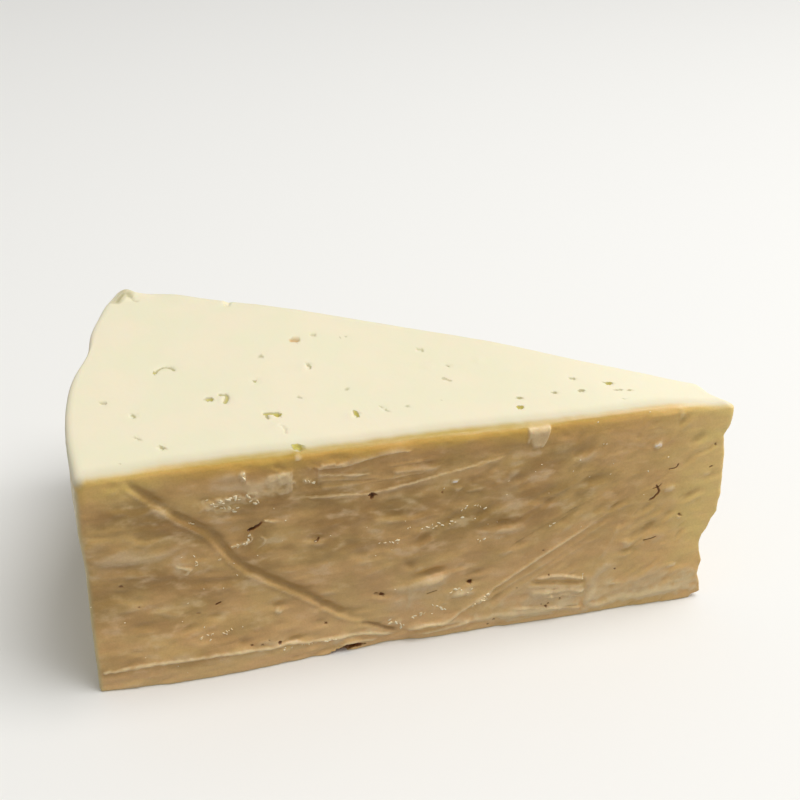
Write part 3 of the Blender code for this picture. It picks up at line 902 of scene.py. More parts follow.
def front_strokes() -> tuple[Stroke, ...]:
    """The long marks of the front cut.

    Returns:
        Each with its path, its sizes and how it is coloured.
    """
    groove = ((10.4, 60.8), (21.1, 49.9), (29.3, 42.9), (32.9, 37.4), (36.4, 32.4), (41.1, 28.3),
              (52.4, 20.3), (61.5, 12.9), (66.2, 10.4), (71.5, 7.8))
    bead = ((0.9, 5.9), (5.0, 6.1), (11.8, 6.8), (18.9, 7.1), (28.0, 6.9), (38.0, 6.5), (43.0, 6.1),
            (48.5, 6.4), (53.0, 5.4), (58.4, 5.2), (67.6, 4.8), (72.1, 3.7), (76.0, 3.0))
    right_bead = ((78.3, 4.2), (83.0, 4.6), (88.0, 4.2), (93.0, 4.1), (98.0, 3.6), (103.0, 4.1),
                  (108.0, 3.9), (113.0, 3.6), (118.0, 3.9), (123.0, 4.5), (127.0, 3.9))
    ridge = ((78.3, 3.9), (84.4, 4.7), (89.1, 4.6), (93.0, 7.1), (99.6, 11.4), (103.9, 14.8), (113.9, 21.4),
             (120.5, 25.4), (134.5, 34.4))
    step = ((56.0, 57.1), (62.5, 57.0), (66.1, 57.7), (71.7, 58.8), (75.9, 59.1), (79.6, 58.6))
    tear = ((51.5, 49.5), (62.5, 49.0), (66.7, 48.5), (71.1, 48.9), (81.1, 50.3), (93.7, 52.6),
            (107.0, 55.6))
    return (
        # The long groove, with the paste pushed up along its lower side
        Stroke(groove, Mark.GROOVE, 1.08, 0.85, lip=0.34, fades=(0.04, 0.25), ragged=0.15),
        # The straight ridge that climbs towards the tip, and a fainter one beside it
        Stroke(ridge, Mark.BEAD, 0.4, 0.5, fades=(0.03, 0.12), ragged=0.15, pale=0.35),
        Stroke(((97.3, 7.3), (104.8, 13.1), (114.6, 18.6), (125.0, 25.4), (135.4, 32.6)), Mark.BEAD, 0.4,
               0.3),
        # The beads above the foot, where the cheese pressed on its wrapping
        # Their pale is painted highlight along their tops
        Stroke(bead, Mark.BEAD, 0.45, 0.55, fades=(0.02, 0.06), ragged=0.25, pale=0.6),
        Stroke(((60.5, 2.0), (64.1, 2.7), (67.6, 2.5), (71.0, 2.2)), Mark.BEAD, 0.4, 0.5, ragged=0.15,
               pale=0.4),
        Stroke(right_bead, Mark.BEAD, 0.7, 0.4, fades=(0.05, 0.05), ragged=0.3, pale=0.2),
        Stroke(((129.6, 2.3), (133.0, 2.6), (138.0, 3.8), (143.0, 3.6), (148.0, 4.1), (158.0, 4.5)),
               Mark.BEAD, 0.9, 0.45, fades=(0.1, 0.1), ragged=0.3, pale=0.35),
        Stroke(((65.5, 8.6), (69.4, 7.5), (72.9, 5.5), (76.9, 3.8)), Mark.GROOVE, 0.55, 0.6, lip=0.2,
               stain=0.22),
        Stroke(((81.0, 2.0), (87.8, 2.4), (93.2, 3.0), (95.9, 4.6)), Mark.BEAD, 0.4, 0.5, ragged=0.15,
               pale=0.35),
        Stroke(((104.5, 1.8), (109.7, 2.0), (114.8, 2.4), (120.3, 2.2)), Mark.BEAD, 0.4, 0.3, ragged=0.3,
               pale=0.2),
        Stroke(((8.4, 0.2), (10.6, 1.8), (13.4, 4.2)), Mark.BEAD, 0.4, 0.2),
        # Strips that the knife left near the top edge
        Stroke(step, Mark.FLAP, 0.16, 0.6, reach=1.0, fades=(0.03, 0.15), ragged=0.15, pale=0.3),
        Stroke(((56.0, 55.6), (62.5, 54.6), (69.1, 54.1)), Mark.LEDGE, 0.15, 0.5, reach=0.5,
               fades=(0.03, 0.1), pale=0.5),
        Stroke(((56.0, 53.7), (61.5, 53.2), (74.5, 51.9)), Mark.FLAP, 0.16, 0.3, reach=0.8,
               fades=(0.05, 0.2)),
        Stroke(((56.0, 51.6), (66.5, 51.6), (79.6, 52.4), (87.0, 53.0)), Mark.BEAD, 0.4, 0.24,
               fades=(0.05, 0.3)),
        Stroke(((72.3, 55.4), (79.0, 55.6), (85.9, 56.0)), Mark.BEAD, 0.42, 0.32),
        Stroke(((73.5, 53.5), (80.0, 53.3), (87.5, 53.5)), Mark.BEAD, 0.42, 0.3),
        Stroke(((51.7, 58.0), (55.0, 57.7), (59.0, 57.8), (63.0, 57.5)), Mark.BEAD, 0.3, 0.3, ragged=0.9),
        Stroke(((55.9, 58.0), (55.8, 52.6)), Mark.FLAP, 0.2, 0.3, reach=0.9, fades=(0.1, 0.1)),
        Stroke(tear, Mark.LEDGE, 0.17, 0.48, reach=1.2, fades=(0.04, 0.2), ragged=0.2, pale=0.4),
        Stroke(((82.0, 52.8), (86.0, 54.0), (88.5, 56.6)), Mark.BEAD, 0.4, 0.18),
        # The rims of the tongue that hangs over the top edge
        Stroke(((108.4, 61.6), (108.6, 59.0), (108.3, 57.2)), Mark.BEAD, 0.3, 0.4, fades=(0.05, 0.1),
               pale=0.4),
        Stroke(((113.7, 61.8), (113.5, 59.6), (112.9, 57.6), (111.6, 55.6)), Mark.BEAD, 0.3, 0.5,
               fades=(0.05, 0.1), pale=0.4),
        # The torn patch left of them
        Stroke(((28.0, 51.4), (33.2, 52.0), (38.4, 52.4), (43.0, 49.4)), Mark.LEDGE, 0.25, 0.55, reach=1.0,
               ragged=1.3),
        Stroke(((30.0, 50.4), (33.9, 48.8), (38.0, 48.6)), Mark.LEDGE, 0.22, 0.35, reach=0.8, ragged=0.9),
        Stroke(((37.8, 59.2), (38.6, 57.0), (39.4, 54.6)), Mark.BEAD, 0.35, 0.35, ragged=0.6),
        Stroke(((49.9, 58.0), (49.7, 54.6), (49.5, 51.4)), Mark.LEDGE, 0.2, 0.5, reach=0.7,
               fades=(0.1, 0.1)),
        Stroke(((42.6, 44.1), (44.4, 43.6), (46.4, 43.4)), Mark.BEAD, 0.2, 0.45, fades=(0.1, 0.3), pale=0.8),
        Stroke(((41.6, 39.8), (42.8, 38.6), (42.2, 37.2), (40.0, 35.4)), Mark.BEAD, 0.22, 0.4,
               fades=(0.1, 0.4), pale=0.6),
        Stroke(((33.8, 37.4), (36.6, 37.9), (39.0, 38.6), (39.2, 40.8)), Mark.BEAD, 0.34, 0.5, ragged=0.9,
               pale=0.55),
        Stroke(((20.4, 34.5), (23.2, 33.4), (24.6, 32.8), (22.6, 30.6)), Mark.BEAD, 0.3, 0.4, ragged=0.5,
               pale=0.55),
        Stroke(((0.4, 34.2), (15.2, 31.6), (32.6, 31.0)), Mark.FLAP, 0.5, 0.24, reach=2.4, ragged=0.7),
        # Folds pressed into the foot right of the middle
        Stroke(((112.6, 14.8), (119.7, 15.0), (126.8, 12.8)), Mark.LEDGE, 0.35, 0.9, reach=0.9,
               fades=(0.2, 0.04), ragged=0.2, pale=0.3),
        Stroke(((111.0, 13.4), (119.0, 12.5), (127.2, 10.9)), Mark.GROOVE, 0.7, 0.7, lip=0.3,
               fades=(0.2, 0.04)),
        Stroke(((113.4, 10.0), (121.5, 9.9), (127.4, 8.1)), Mark.BEAD, 0.5, 0.65, fades=(0.2, 0.05),
               ragged=0.4, pale=0.3),
        Stroke(((114.0, 8.0), (121.0, 7.9), (127.4, 6.2)), Mark.FLAP, 0.3, 0.5, reach=1.2, ragged=0.4),
        Stroke(((106.0, 6.0), (116.0, 5.0), (127.4, 2.8)), Mark.LEDGE, 0.35, 0.6, reach=1.2,
               fades=(0.2, 0.05)),
        Stroke(((126.9, 14.6), (127.9, 9.0), (127.2, 1.2)), Mark.FLAP, 0.5, 0.4, reach=1.4,
               fades=(0.2, 0.05), ragged=0.5),
        Stroke(((127.2, 9.6), (130.0, 12.6), (133.2, 17.2)), Mark.BEAD, 0.7, 0.35),
        # The upright left edge of a facet in the middle of the foot
        Stroke(((79.2, 19.2), (79.1, 15.9), (78.2, 9.8)), Mark.FLAP, 0.2, 0.3, reach=1.2, fades=(0.1, 0.2),
               pale=0.2),
        # Long faint scratches
        Stroke(((96.0, 27.6), (112.0, 38.0), (127.0, 46.0)), Mark.BEAD, 0.45, 0.2, fades=(0.3, 0.3)),
        Stroke(((99.0, 21.6), (117.0, 32.6), (136.0, 41.4)), Mark.CREASE, 0.5, 0.16, lip=0.18,
               fades=(0.3, 0.3)),
        Stroke(((104.0, 9.0), (121.0, 20.6), (134.0, 27.6)), Mark.BEAD, 0.45, 0.22, fades=(0.25, 0.3)),
        Stroke(((128.0, 15.0), (132.8, 22.0), (136.4, 33.0)), Mark.BEAD, 0.5, 0.25, fades=(0.3, 0.3)),
        Stroke(((129.0, 4.0), (142.0, 8.6), (156.0, 15.0)), Mark.FLAP, 0.6, 0.25, reach=2.0,
               fades=(0.2, 0.3)),
        Stroke(((50.0, 51.6), (62.0, 50.9), (76.0, 50.9)), Mark.BEAD, 0.35, 0.14),
        Stroke(((6.0, 49.0), (16.0, 47.6), (24.0, 45.4)), Mark.FLAP, 0.5, 0.16, reach=2.4),
        # The cracks and slits
        Stroke(((38.3, 41.6), (39.9, 42.1), (41.4, 42.9), (42.7, 44.2)), Mark.SLIT, 0.28, 0.5,
               fades=(0.3, 0.3), ragged=0.3, stain=0.8),
        Stroke(((29.7, 21.0), (31.4, 21.7)), Mark.SLIT, 0.2, 0.4, fades=(0.2, 0.2), stain=0.7),
        Stroke(((54.6, 36.0), (55.6, 36.2), (56.2, 36.9)), Mark.SLIT, 0.2, 0.4, stain=0.55),
        Stroke(((83.4, 15.0), (85.2, 15.4), (86.6, 15.8)), Mark.SLIT, 0.18, 0.3, stain=0.35),
        Stroke(((144.2, 39.8), (145.4, 37.6), (144.5, 36.0), (142.4, 34.5)), Mark.SLIT, 0.3, 0.4,
               fades=(0.1, 0.2), ragged=0.35, stain=0.55),
        Stroke(((143.2, 38.6), (144.9, 38.8), (146.0, 39.9)), Mark.SLIT, 0.18, 0.3, stain=0.4),
        Stroke(((147.0, 43.9), (149.2, 44.2), (150.0, 45.5)), Mark.SLIT, 0.18, 0.3, stain=0.5),
        Stroke(((142.3, 22.4), (144.6, 22.7), (146.5, 23.3)), Mark.SLIT, 0.18, 0.3, stain=0.5),
        Stroke(((158.8, 42.8), (159.8, 43.2)), Mark.SLIT, 0.18, 0.3, stain=0.5),
    )


def front_pits() -> tuple[Pit, ...]:
    """The stained pits of the front cut, and the notch torn out under its foot, whose dark is painted
    shadow.
    """
    return (
        Pit(39.6, 41.9, 0.9, 0.4, 0.4, 20, 0.7),
        Pit(69.2, 48.0, 1.05, 0.5, 0.6, -6, 0.8),
        Pit(69.0, 47.2, 0.5, 0.55, 0.6, 0, 0.8),
        Pit(95.3, 16.6, 0.55, 0.55, 0.6, 0, 0.85),
        Pit(72.1, 16.5, 0.7, 0.4, 0.5, -15, 0.75),
        Pit(70.4, 17.2, 0.8, 0.2, 0.3, -10, 0.4),
        Pit(116.7, 5.1, 0.4, 0.25, 0.3, -30, 0.7),
        Pit(117.5, 5.9, 0.3, 0.2, 0.3, 40, 0.7),
        Pit(115.5, 5.9, 0.25, 0.2, 0.3, 0, 0.7),
        Pit(120.6, 6.9, 0.22, 0.2, 0.3, 0, 0.7),
        Pit(135.6, 14.1, 0.24, 0.24, 0.3, 0, 0.8),
        Pit(152.4, 28.9, 0.8, 0.45, 0.4, -28, 0.4),
        Pit(159.6, 49.8, 0.3, 0.28, 0.3, 0, 0.6),
        Pit(45.2, 7.2, 0.45, 0.5, 0.4, 0, 0.65),
        Pit(38.1, 7.9, 0.5, 0.26, 0.3, 0, 0.5),
        Pit(40.8, 7.7, 0.32, 0.24, 0.3, 0, 0.45),
        Pit(42.5, 8.6, 0.24, 0.22, 0.3, 0, 0.4),
        Pit(7.8, 30.3, 0.5, 0.26, 0.3, 0, 0.5),
        Pit(11.6, 23.7, 0.24, 0.22, 0.2, 0, 0.4),
        Pit(25.6, 19.2, 0.6, 0.3, 0.2, 0, 0.25),
        Pit(57.3, 10.2, 0.45, 0.26, 0.3, 0, 0.5),
        Pit(86.9, 45.8, 0.26, 0.24, 0.2, 0, 0.6),
        Pit(114.8, 23.6, 0.4, 0.22, 0.2, 0, 0.45),
        Pit(116.9, 15.4, 0.24, 0.22, 0.2, 0, 0.6),
        Pit(108.2, 12.7, 0.28, 0.22, 0.2, 0, 0.6),
        Pit(102.6, 3.1, 0.26, 0.24, 0.2, 0, 0.6),
        Pit(101.0, 1.4, 0.3, 0.24, 0.2, 0, 0.5),
        # The torn notch under the front edge, painted dark as its shadow
        Pit(60.8, 0.5, 4.4, 0.95, 1.3, 17, 0.8),
        Pit(65.0, 1.5, 2.6, 0.6, 0.8, -8, 0.7),
    )


def front_smears() -> tuple[Smear, ...]:
    """The pale paste smeared over the front cut, the tongue that hangs over its top edge, and pale strips of
    painted highlight and bounce light along the foot.
    """
    return (
        # The smear under the top edge, in several overlapping lumps
        Smear(46.4, 54.6, 3.2, 2.9, 0.2, -4.0, 0.24, 0.7, 0.6),
        Smear(48.2, 55.4, 1.6, 2.0, 0.25, 0.0, 0.4, 0.6, 0.35),
        Smear(45.2, 56.4, 1.3, 1.0, 0.2, 10.0, 0.3, 0.4),
        Smear(47.4, 52.2, 1.4, 0.9, 0.2, 5.0, 0.25, 0.4),
        Smear(41.6, 54.0, 3.2, 1.3, 0.18, 12.0, 0.25, 0.5, 0.5),
        Smear(38.0, 58.0, 0.8, 1.4, 0.3, 15.0, 0.45, 0.5),
        Smear(53.6, 54.0, 1.6, 0.7, 0.25, -20.0, 0.3, 0.5),
        # The torn patch beside it
        Smear(34.0, 51.0, 6.5, 1.3, 0.2, 8.0, 0.3, 0.9, 0.4),
        Smear(42.0, 52.6, 2.4, 1.0, 0.2, 20.0, 0.3, 0.7, 0.4),
        Smear(32.5, 49.0, 3.0, 0.9, 0.15, 0.0, 0.2, 0.9, 0.4),
        # The tongue, thin at its foot
        Smear(111.0, 59.0, 2.5, 3.5, 0.5, -2.0, 0.28, 0.12, 0.2, 0.28),
        Smear(111.1, 61.2, 2.6, 2.2, 0.2, -2.0, 0.35, 0.2, 0.6),
        Smear(149.0, 60.4, 0.5, 1.4, 0.15, 0.0, 0.35),
        Smear(51.4, 60.7, 0.7, 0.7, 0.2, 0.0, 0.8, 0.3, 0.15),
        # Crystals and crumbs
        Smear(90.2, 48.9, 0.9, 0.6, 0.6, 8.0, 1.6, 0.3, 0.15),
        Smear(90.8, 46.2, 0.9, 0.5, 0.3, 10.0, 0.3),
        Smear(95.4, 45.5, 2.6, 0.5, 0.2, 6.0, 0.2),
        Smear(143.3, 51.8, 1.1, 0.85, 0.6, 20.0, 1.6, 0.3, 0.15),
        Smear(45.3, 16.6, 1.0, 0.55, 0.35, -15.0, 0.55, 0.4),
        Smear(152.0, 12.7, 1.5, 0.45, 0.35, 5.0, 0.6),
        Smear(135.6, 9.2, 0.7, 0.3, 0.25, 0.0, 0.4),
        Smear(158.2, 40.9, 1.2, 0.5, 0.25, 0.0, 0.35),
        Smear(148.0, 38.0, 1.4, 0.7, 0.3, 10.0, 0.3),
        Smear(152.0, 28.2, 0.6, 0.5, 0.3, 0.0, 0.4),
        # Faint patches where thin paste dried
        Smear(23.0, 33.6, 2.2, 1.6, 0.15, -30.0, 0.2, 0.7, 0.5),
        Smear(14.4, 37.2, 4.4, 0.8, 0.1, 0.0, 0.12, 0.5, 0.5),
        Smear(92.8, 13.8, 2.8, 1.0, 0.25, 10.0, 0.4, 0.6, 0.4),
        Smear(98.6, 10.6, 1.6, 0.9, 0.25, 35.0, 0.4, 0.6, 0.4),
        Smear(75.4, 6.9, 2.0, 0.8, 0.3, 0.0, 0.35, 0.6, 0.4),
        # A paler facet with an upright left edge
        Smear(84.0, 14.6, 5.6, 4.6, 0.2, 8.0, 0.08, 0.7, 0.5),
        Smear(84.6, 19.2, 3.0, 1.2, 0.2, 8.0, 0.22, 0.6, 0.5),
        Smear(115.5, 9.8, 2.4, 1.4, 0.25, 15.0, 0.3, 0.6, 0.4),
        Smear(129.3, 6.0, 1.0, 3.6, 0.15, 0.0, 0.22, 0.6, 0.5),
        Smear(92.0, 13.6, 1.4, 0.8, 0.2, 0.0, 0.3, 0.6, 0.4),
        Smear(95.9, 12.9, 1.0, 0.8, 0.2, 0.0, 0.3, 0.6, 0.4),
        Smear(45.0, 7.6, 2.2, 0.7, 0.15, 8.0, 0.25, 0.6, 0.4),
        Smear(116.6, 8.6, 1.8, 0.8, 0.25, 0.0, 0.3, 0.6, 0.4),
        Smear(124.0, 6.4, 2.8, 1.2, 0.2, -8.0, 0.25, 0.6, 0.4),
        Smear(128.9, 5.5, 0.9, 0.6, 0.25, 0.0, 0.35, 0.5, 0.3),
        Smear(131.5, 10.0, 3.4, 7.5, 0.15, -20.0, 0.22, 0.6, 0.5),
        # Pale strips along the foot and its bead: painted highlight where the relief faces up, and painted
        # bounce light
        Smear(64.0, 5.0, 6.5, 0.9, 0.1, 2.0, 0.42, 0.7, 0.5),
        Smear(38.0, 5.0, 12.0, 0.6, 0.05, -2.0, 0.2, 0.7, 0.5),
        Smear(88.0, 4.2, 9.0, 1.0, 0.1, 0.0, 0.2, 0.7, 0.5),
        Smear(112.0, 3.7, 14.0, 1.2, 0.1, 0.0, 0.5, 0.7, 0.5),
        Smear(146.0, 4.0, 12.0, 1.7, 0.1, 2.0, 0.6, 0.7, 0.5),
        Smear(132.0, 7.0, 27.0, 2.8, 0.0, 1.0, 0.42, 0.7, 0.6),
        Smear(158.0, 6.4, 3.0, 3.4, 0.1, 0.0, 0.5, 0.6, 0.5),
        # Faint pale patches high on the cut
        Smear(117.5, 54.4, 2.8, 1.5, 0.1, 5.0, 0.12, 0.5, 0.5),
        Smear(125.0, 50.6, 3.4, 1.2, 0.08, 20.0, 0.1, 0.5, 0.5),
        Smear(104.0, 44.4, 3.6, 2.0, 0.08, 10.0, 0.1, 0.5, 0.5),
    )


def front_cut() -> CutFace:
    """The front cut, with the marks that the knife and the wrapping left on it.

    Returns:
        The cut with its own marks and those that a seeded draw strews over it.
    """
    strewn = Scatter(seed=41, count=500, length=160.0, height=60.0).marks()
    strewn += Scatter(seed=53, count=90, length=156.0, height=15.0).marks()
    return CutFace((*front_presses(), *strewn), front_strokes(), front_pits(), front_smears(), seed=0.0)


def back_cut() -> CutFace:
    """The back cut, which the same knife drew and the same wrapping pressed.

    Returns:
        The cut with the marks that a seeded draw strews over it.
    """
    strewn = Scatter(seed=77, count=240, length=168.0, height=60.0, slope_at_tip=14.0).marks()
    draw = np.random.default_rng(5)
    kinds = (Mark.BEAD, Mark.LEDGE, Mark.FLAP, Mark.CREASE)
    strokes, pits = [], []
    for number in range(14):
        start, up, length = draw.uniform(5, 110), draw.uniform(8, 56), draw.uniform(18, 45)
        lift, sag = draw.uniform(-4, 9), draw.uniform(-1.5, 1.5)
        middle = start + length / 2, up + lift / 2 + sag
        path = (start, up), middle, (start + length, up + lift)
        half, height = draw.uniform(0.4, 0.8), draw.uniform(0.15, 0.4)
        kind = kinds[number % len(kinds)]
        strokes.append(Stroke(path, kind, half, height, lip=0.5 * height, ragged=0.4))
    for _ in range(18):
        place = draw.uniform(4, 150), draw.uniform(4, 56)
        halves = draw.uniform(0.5, 1.6), draw.uniform(0.35, 0.6)
        pits.append(Pit(*place, *halves, height=0.8, turn=draw.uniform(-20, 50), stain=0.6))
    return CutFace(strewn, strokes, pits, seed=20.0)


@dataclass(frozen=True)
class BrokenTip:
    """The blunt tip, which broke rather than being cut.

    profile is how far its front edge stands out at each height. corner_chip is how much has come off
    its front corner on the floor.
    """

    width: float
    scoop: float = 1.3
    slant: float = 0.12
    profile: tuple[tuple[float, float], ...] = (
        (0.3, -2.4), (2, -0.9), (5, -1.4), (8, -2.4), (12.5, -1.7), (15.5, -2.6), (18, -3.8), (20, -3.6),
        (23, -1.4), (26, -0.4), (28, 0.9), (31, 0.8), (34, 1.2), (41, 0.8), (47, 0.4), (52, -0.5),
        (54.5, 1.0), (57, 1.4), (60, 1.4), (62, -0.2),
    )
    corner_chip: float = 4.2
    chip_back: tuple[float, float] = (0.5, 4.5)
    chip_up: tuple[float, float] = (0.3, 1.9)
    rough_from: float = 4.0
    lumps: Lumps = Lumps(0.5, (6.0, 6.0), 3.7)
    crumble: Lumps = Lumps(0.16, (1.8, 1.5), 9.4)
    edge_lumps: Lumps = Lumps(0.12, (2.8, 2.8), 9.4)

    def relief(self, back: Array, up: Array) -> Array:
        """How far the tip stands out.

        Args:
            back: How far behind the front cut the places lie.
            up: How far above the bench.

        Returns:
            The height at each place.
        """
        chip = self.corner_chip * (1 - rise(back, *self.chip_back)) * (1 - rise(up, *self.chip_up))
        inside = rise(back, 0.0, self.rough_from)
        out = np.interp(up - self.slant * back, *zip(*self.profile))
        out -= self.scoop * bump(back, self.width / 2, self.width / 3)
        out += inside * self.lumps.at(back, up)
        out += inside * self.crumble.at(back, up)
        return out + self.edge_lumps.at(back, up) - chip


@dataclass(frozen=True)
class Rim:
    """The wheel's rim: its lean, its dent, its full back corner, and the ripple under its top edge."""

    lean: float = 1.2
    dent: float = 2.1
    dent_back: float = 61.0
    dent_reach: float = 10.0
    fullness: float = 0.9
    fullness_back: float = 91.0
    fullness_reach: float = 7.0
    ripple: float = 0.5
    ripple_up: float = 46.0
    ripple_reach: float = 6.5
    swell: Lumps = Lumps(0.4, (26.0, 26.0), 5.1)
    texture: Lumps = Lumps(0.07, (2.6, 2.6), 14.2)

    def relief(self, back: Array, up: Array, height: float, edge_reach: float) -> Array:
        """How far the rim stands out.

        Args:
            back: How far behind the front cut the places lie.
            up: How far above the bench.
            height: The height of the wedge.
            edge_reach: How far in from an edge the relief of its two sides meets.

        Returns:
            The height at each place.
        """
        out = -self.lean * (1 - up / height) * (1 - bump(back, 0.0, edge_reach * 2))
        out -= self.dent * bump(back, self.dent_back, self.dent_reach)
        out += self.fullness * bump(back, self.fullness_back, self.fullness_reach)
        out += self.ripple * bump(up, self.ripple_up, self.ripple_reach)
        return out + self.swell.at(back, up) + self.texture.at(back, up)


@dataclass(frozen=True)
class Foot:
    """The foot of the front cut, pressed outwards near the rim and drawn in by the notch."""

    flare: float = 2.7
    flare_along: float = 24.0
    flare_reach: float = 28.0
    flare_foot: float = 3.0
    flare_top: float = 22.0
    tuck: float = 1.0
    tuck_along: float = 74.0
    tuck_reach: float = 5.0
    tuck_top: float = 8.0

    def relief(self, along: Array, up: Array) -> Array:
        """How far the foot stands out from the front cut.

        Args:
            along: Where the places lie along the cut.
            up: Where they lie up it.

        Returns:
            The height at each place.
        """
        flared = self.flare * bump(along, self.flare_along, self.flare_reach)
        flared *= 1 - rise(up, self.flare_foot, self.flare_top)
        tucked = self.tuck * bump(along, self.tuck_along, self.tuck_reach)
        return flared - tucked * (1 - rise(up, 0.0, self.tuck_top))


@dataclass(frozen=True)
class Eye(Spot):
    """An eye in the top cut, with one steep dark wall and a floor that slopes up from it.

    steep is the direction of its steep wall, in degrees from "along"; olive is how strongly the wall is
    painted olive, as painted shade with yellowed paste, and brown how far it has browned.
    """

    steep: float = 90.0
    olive: float = 0.8
    brown: float = 0.0
    RAGGED: ClassVar[Lumps] = Lumps(0.35, (1.1, 1.1), 5.5)
    WALL_TOWARD: ClassVar[tuple[float, float]] = (-0.5, 0.45)
    WALL_INSIDE: ClassVar[tuple[float, float]] = (0.25, 0.6)
    WALL_OUTSIDE: ClassVar[tuple[float, float]] = (1.0, 1.2)
    BROWN_OUTSIDE: ClassVar[tuple[float, float]] = (0.5, 1.2)

    def close_to(self, along: Array, back: Array, reach: float = 1.7) -> Array:
        """Which places are near it."""
        return np.hypot(*self.offsets(along, back)) < reach

    def polar(self, along: Array, back: Array) -> tuple[Array, Array]:
        """Where places lie in the eye.

        Args:
            along: Where the places lie along the front cut.
            back: How far behind it.

        Returns:
            How far out each lies, 1 at the eye's edge, and how nearly towards its steep wall.
        """
        one, two = self.offsets(along, back)
        reach = np.hypot(one, two)
        aim = math.radians(self.steep)
        toward = (one * math.cos(aim) + two * math.sin(aim)) / np.maximum(reach, 0.05)
        return reach + self.RAGGED.at(along, back), toward

    def depth_at(self, along: Array, back: Array) -> Array:
        """How far the eye lies in."""
        reach, toward = self.polar(along, back)
        return self.height * rise(1 - reach, 0.0, 0.55 - 0.4 * toward)

    def wall_at(self, along: Array, back: Array) -> Array:
        """Where the steep wall is.

        Args:
            along: Where the places lie along the front cut.
            back: How far behind it.

        Returns:
            1 on the wall and 0 off it.
        """
        reach, toward = self.polar(along, back)
        inside = rise(reach, *self.WALL_INSIDE) * (1 - rise(reach, *self.WALL_OUTSIDE))
        return rise(toward, *self.WALL_TOWARD) * inside

    def brown_at(self, along: Array, back: Array) -> Array:
        """How far its paste has browned."""
        reach, _ = self.polar(along, back)
        return self.brown * (1 - rise(reach, *self.BROWN_OUTSIDE))


def large_eyes() -> tuple[Eye, ...]:
    """The eyes of the top cut that show their shape."""
    return (
        Eye(22.4, 46.4, 0.6, 0.7, 0.4, 0, 150, 0.95),
        Eye(34.4, 29.4, 1.1, 1.1, 0.6, -10, 90, 0.85),
        Eye(60.4, 56.4, 1.5, 1.4, 0.5, -15, 60, 0.3, 0.7),
        Eye(61.3, 41.0, 0.9, 1.5, 0.5, 0, 10, 0.45),
        Eye(49.3, 18.4, 1.1, 1.0, 0.8, -20, 60, 0.95),
        Eye(51.6, 2.6, 1.2, 1.7, 0.8, 0, 70, 1.0),
        Eye(68.2, 14.8, 0.85, 1.7, 0.7, 0, 5, 0.95),
        Eye(46.1, 84.4, 1.5, 1.7, 1.1, 0, 270, 0.1),
        Eye(46.9, 36.4, 0.9, 0.6, 0.7, 8, 90, 0.9),
        Eye(74.1, 55.7, 1.2, 0.5, 0.35, 14, 90, 0.4),
        Eye(65.9, 58.0, 1.0, 0.9, 0.3, 0, 60, 0.3),
        Eye(92.2, 43.6, 1.3, 1.1, 0.25, -30, 60, 0.3),
        Eye(97.2, 33.8, 0.6, 0.8, 0.4, 0, 20, 0.5),
        Eye(94.8, 26.4, 1.0, 1.6, 0.22, 35, 30, 0.3),
        Eye(75.6, 15.7, 0.6, 2.0, 0.25, 20, 20, 0.3),
        Eye(109.0, 9.1, 1.0, 1.0, 0.7, -20, 80, 0.85),
        Eye(110.3, 13.5, 0.7, 0.7, 0.5, 0, 90, 0.6),
        Eye(119.9, 14.0, 0.7, 0.7, 0.5, 0, 90, 0.55),
        Eye(127.1, 13.3, 0.9, 1.0, 0.35, 40, 60, 0.5),
        Eye(126.9, 19.9, 0.8, 0.8, 0.3, 0, 60, 0.4),
        Eye(135.1, 15.5, 1.0, 0.9, 0.6, -8, 80, 0.8),
        Eye(136.4, 11.6, 1.2, 0.6, 0.25, 0, 80, 0.35),
        Eye(20.4, 9.5, 0.7, 1.0, 0.5, 0, 20, 0.5),
        Eye(14.9, 25.6, 0.8, 1.2, 0.4, 0, 20, 0.5),
        Eye(8.4, 33.0, 1.0, 0.9, 0.25, 0, 60, 0.4),
        Eye(15.2, 14.8, 0.6, 1.1, 0.2, 30, 30, 0.35),
    )


def pin_eyes() -> tuple[Eye, ...]:
    """The eyes of the top cut that show as specks.

    Returns:
        Eyes at the specks' places, with sizes from a seeded draw.
    """
    places = (
        (31.8, 87.6), (29.6, 69.7), (87.7, 49.3), (76.9, 39.5), (67.4, 29.4), (68.9, 27.1), (70.5, 30.9),
        (56.4, 25.5), (55.0, 27.9), (81.6, 15.3), (139.0, 11.0), (136.2, 7.2), (17.5, 9.8), (11.0, 4.6),
        (8.7, 48.2), (7.8, 47.6), (6.9, 40.4), (90.9, 16.5), (10.2, 79.6), (6.7, 62.5), (50.5, 49.2),
    )
    draw = np.random.default_rng(12)
    return tuple(
        Eye(along, back, draw.uniform(0.3, 0.6), draw.uniform(0.3, 0.6), 0.3, 0, draw.uniform(20, 110), 0.45)
        for along, back in places
    )


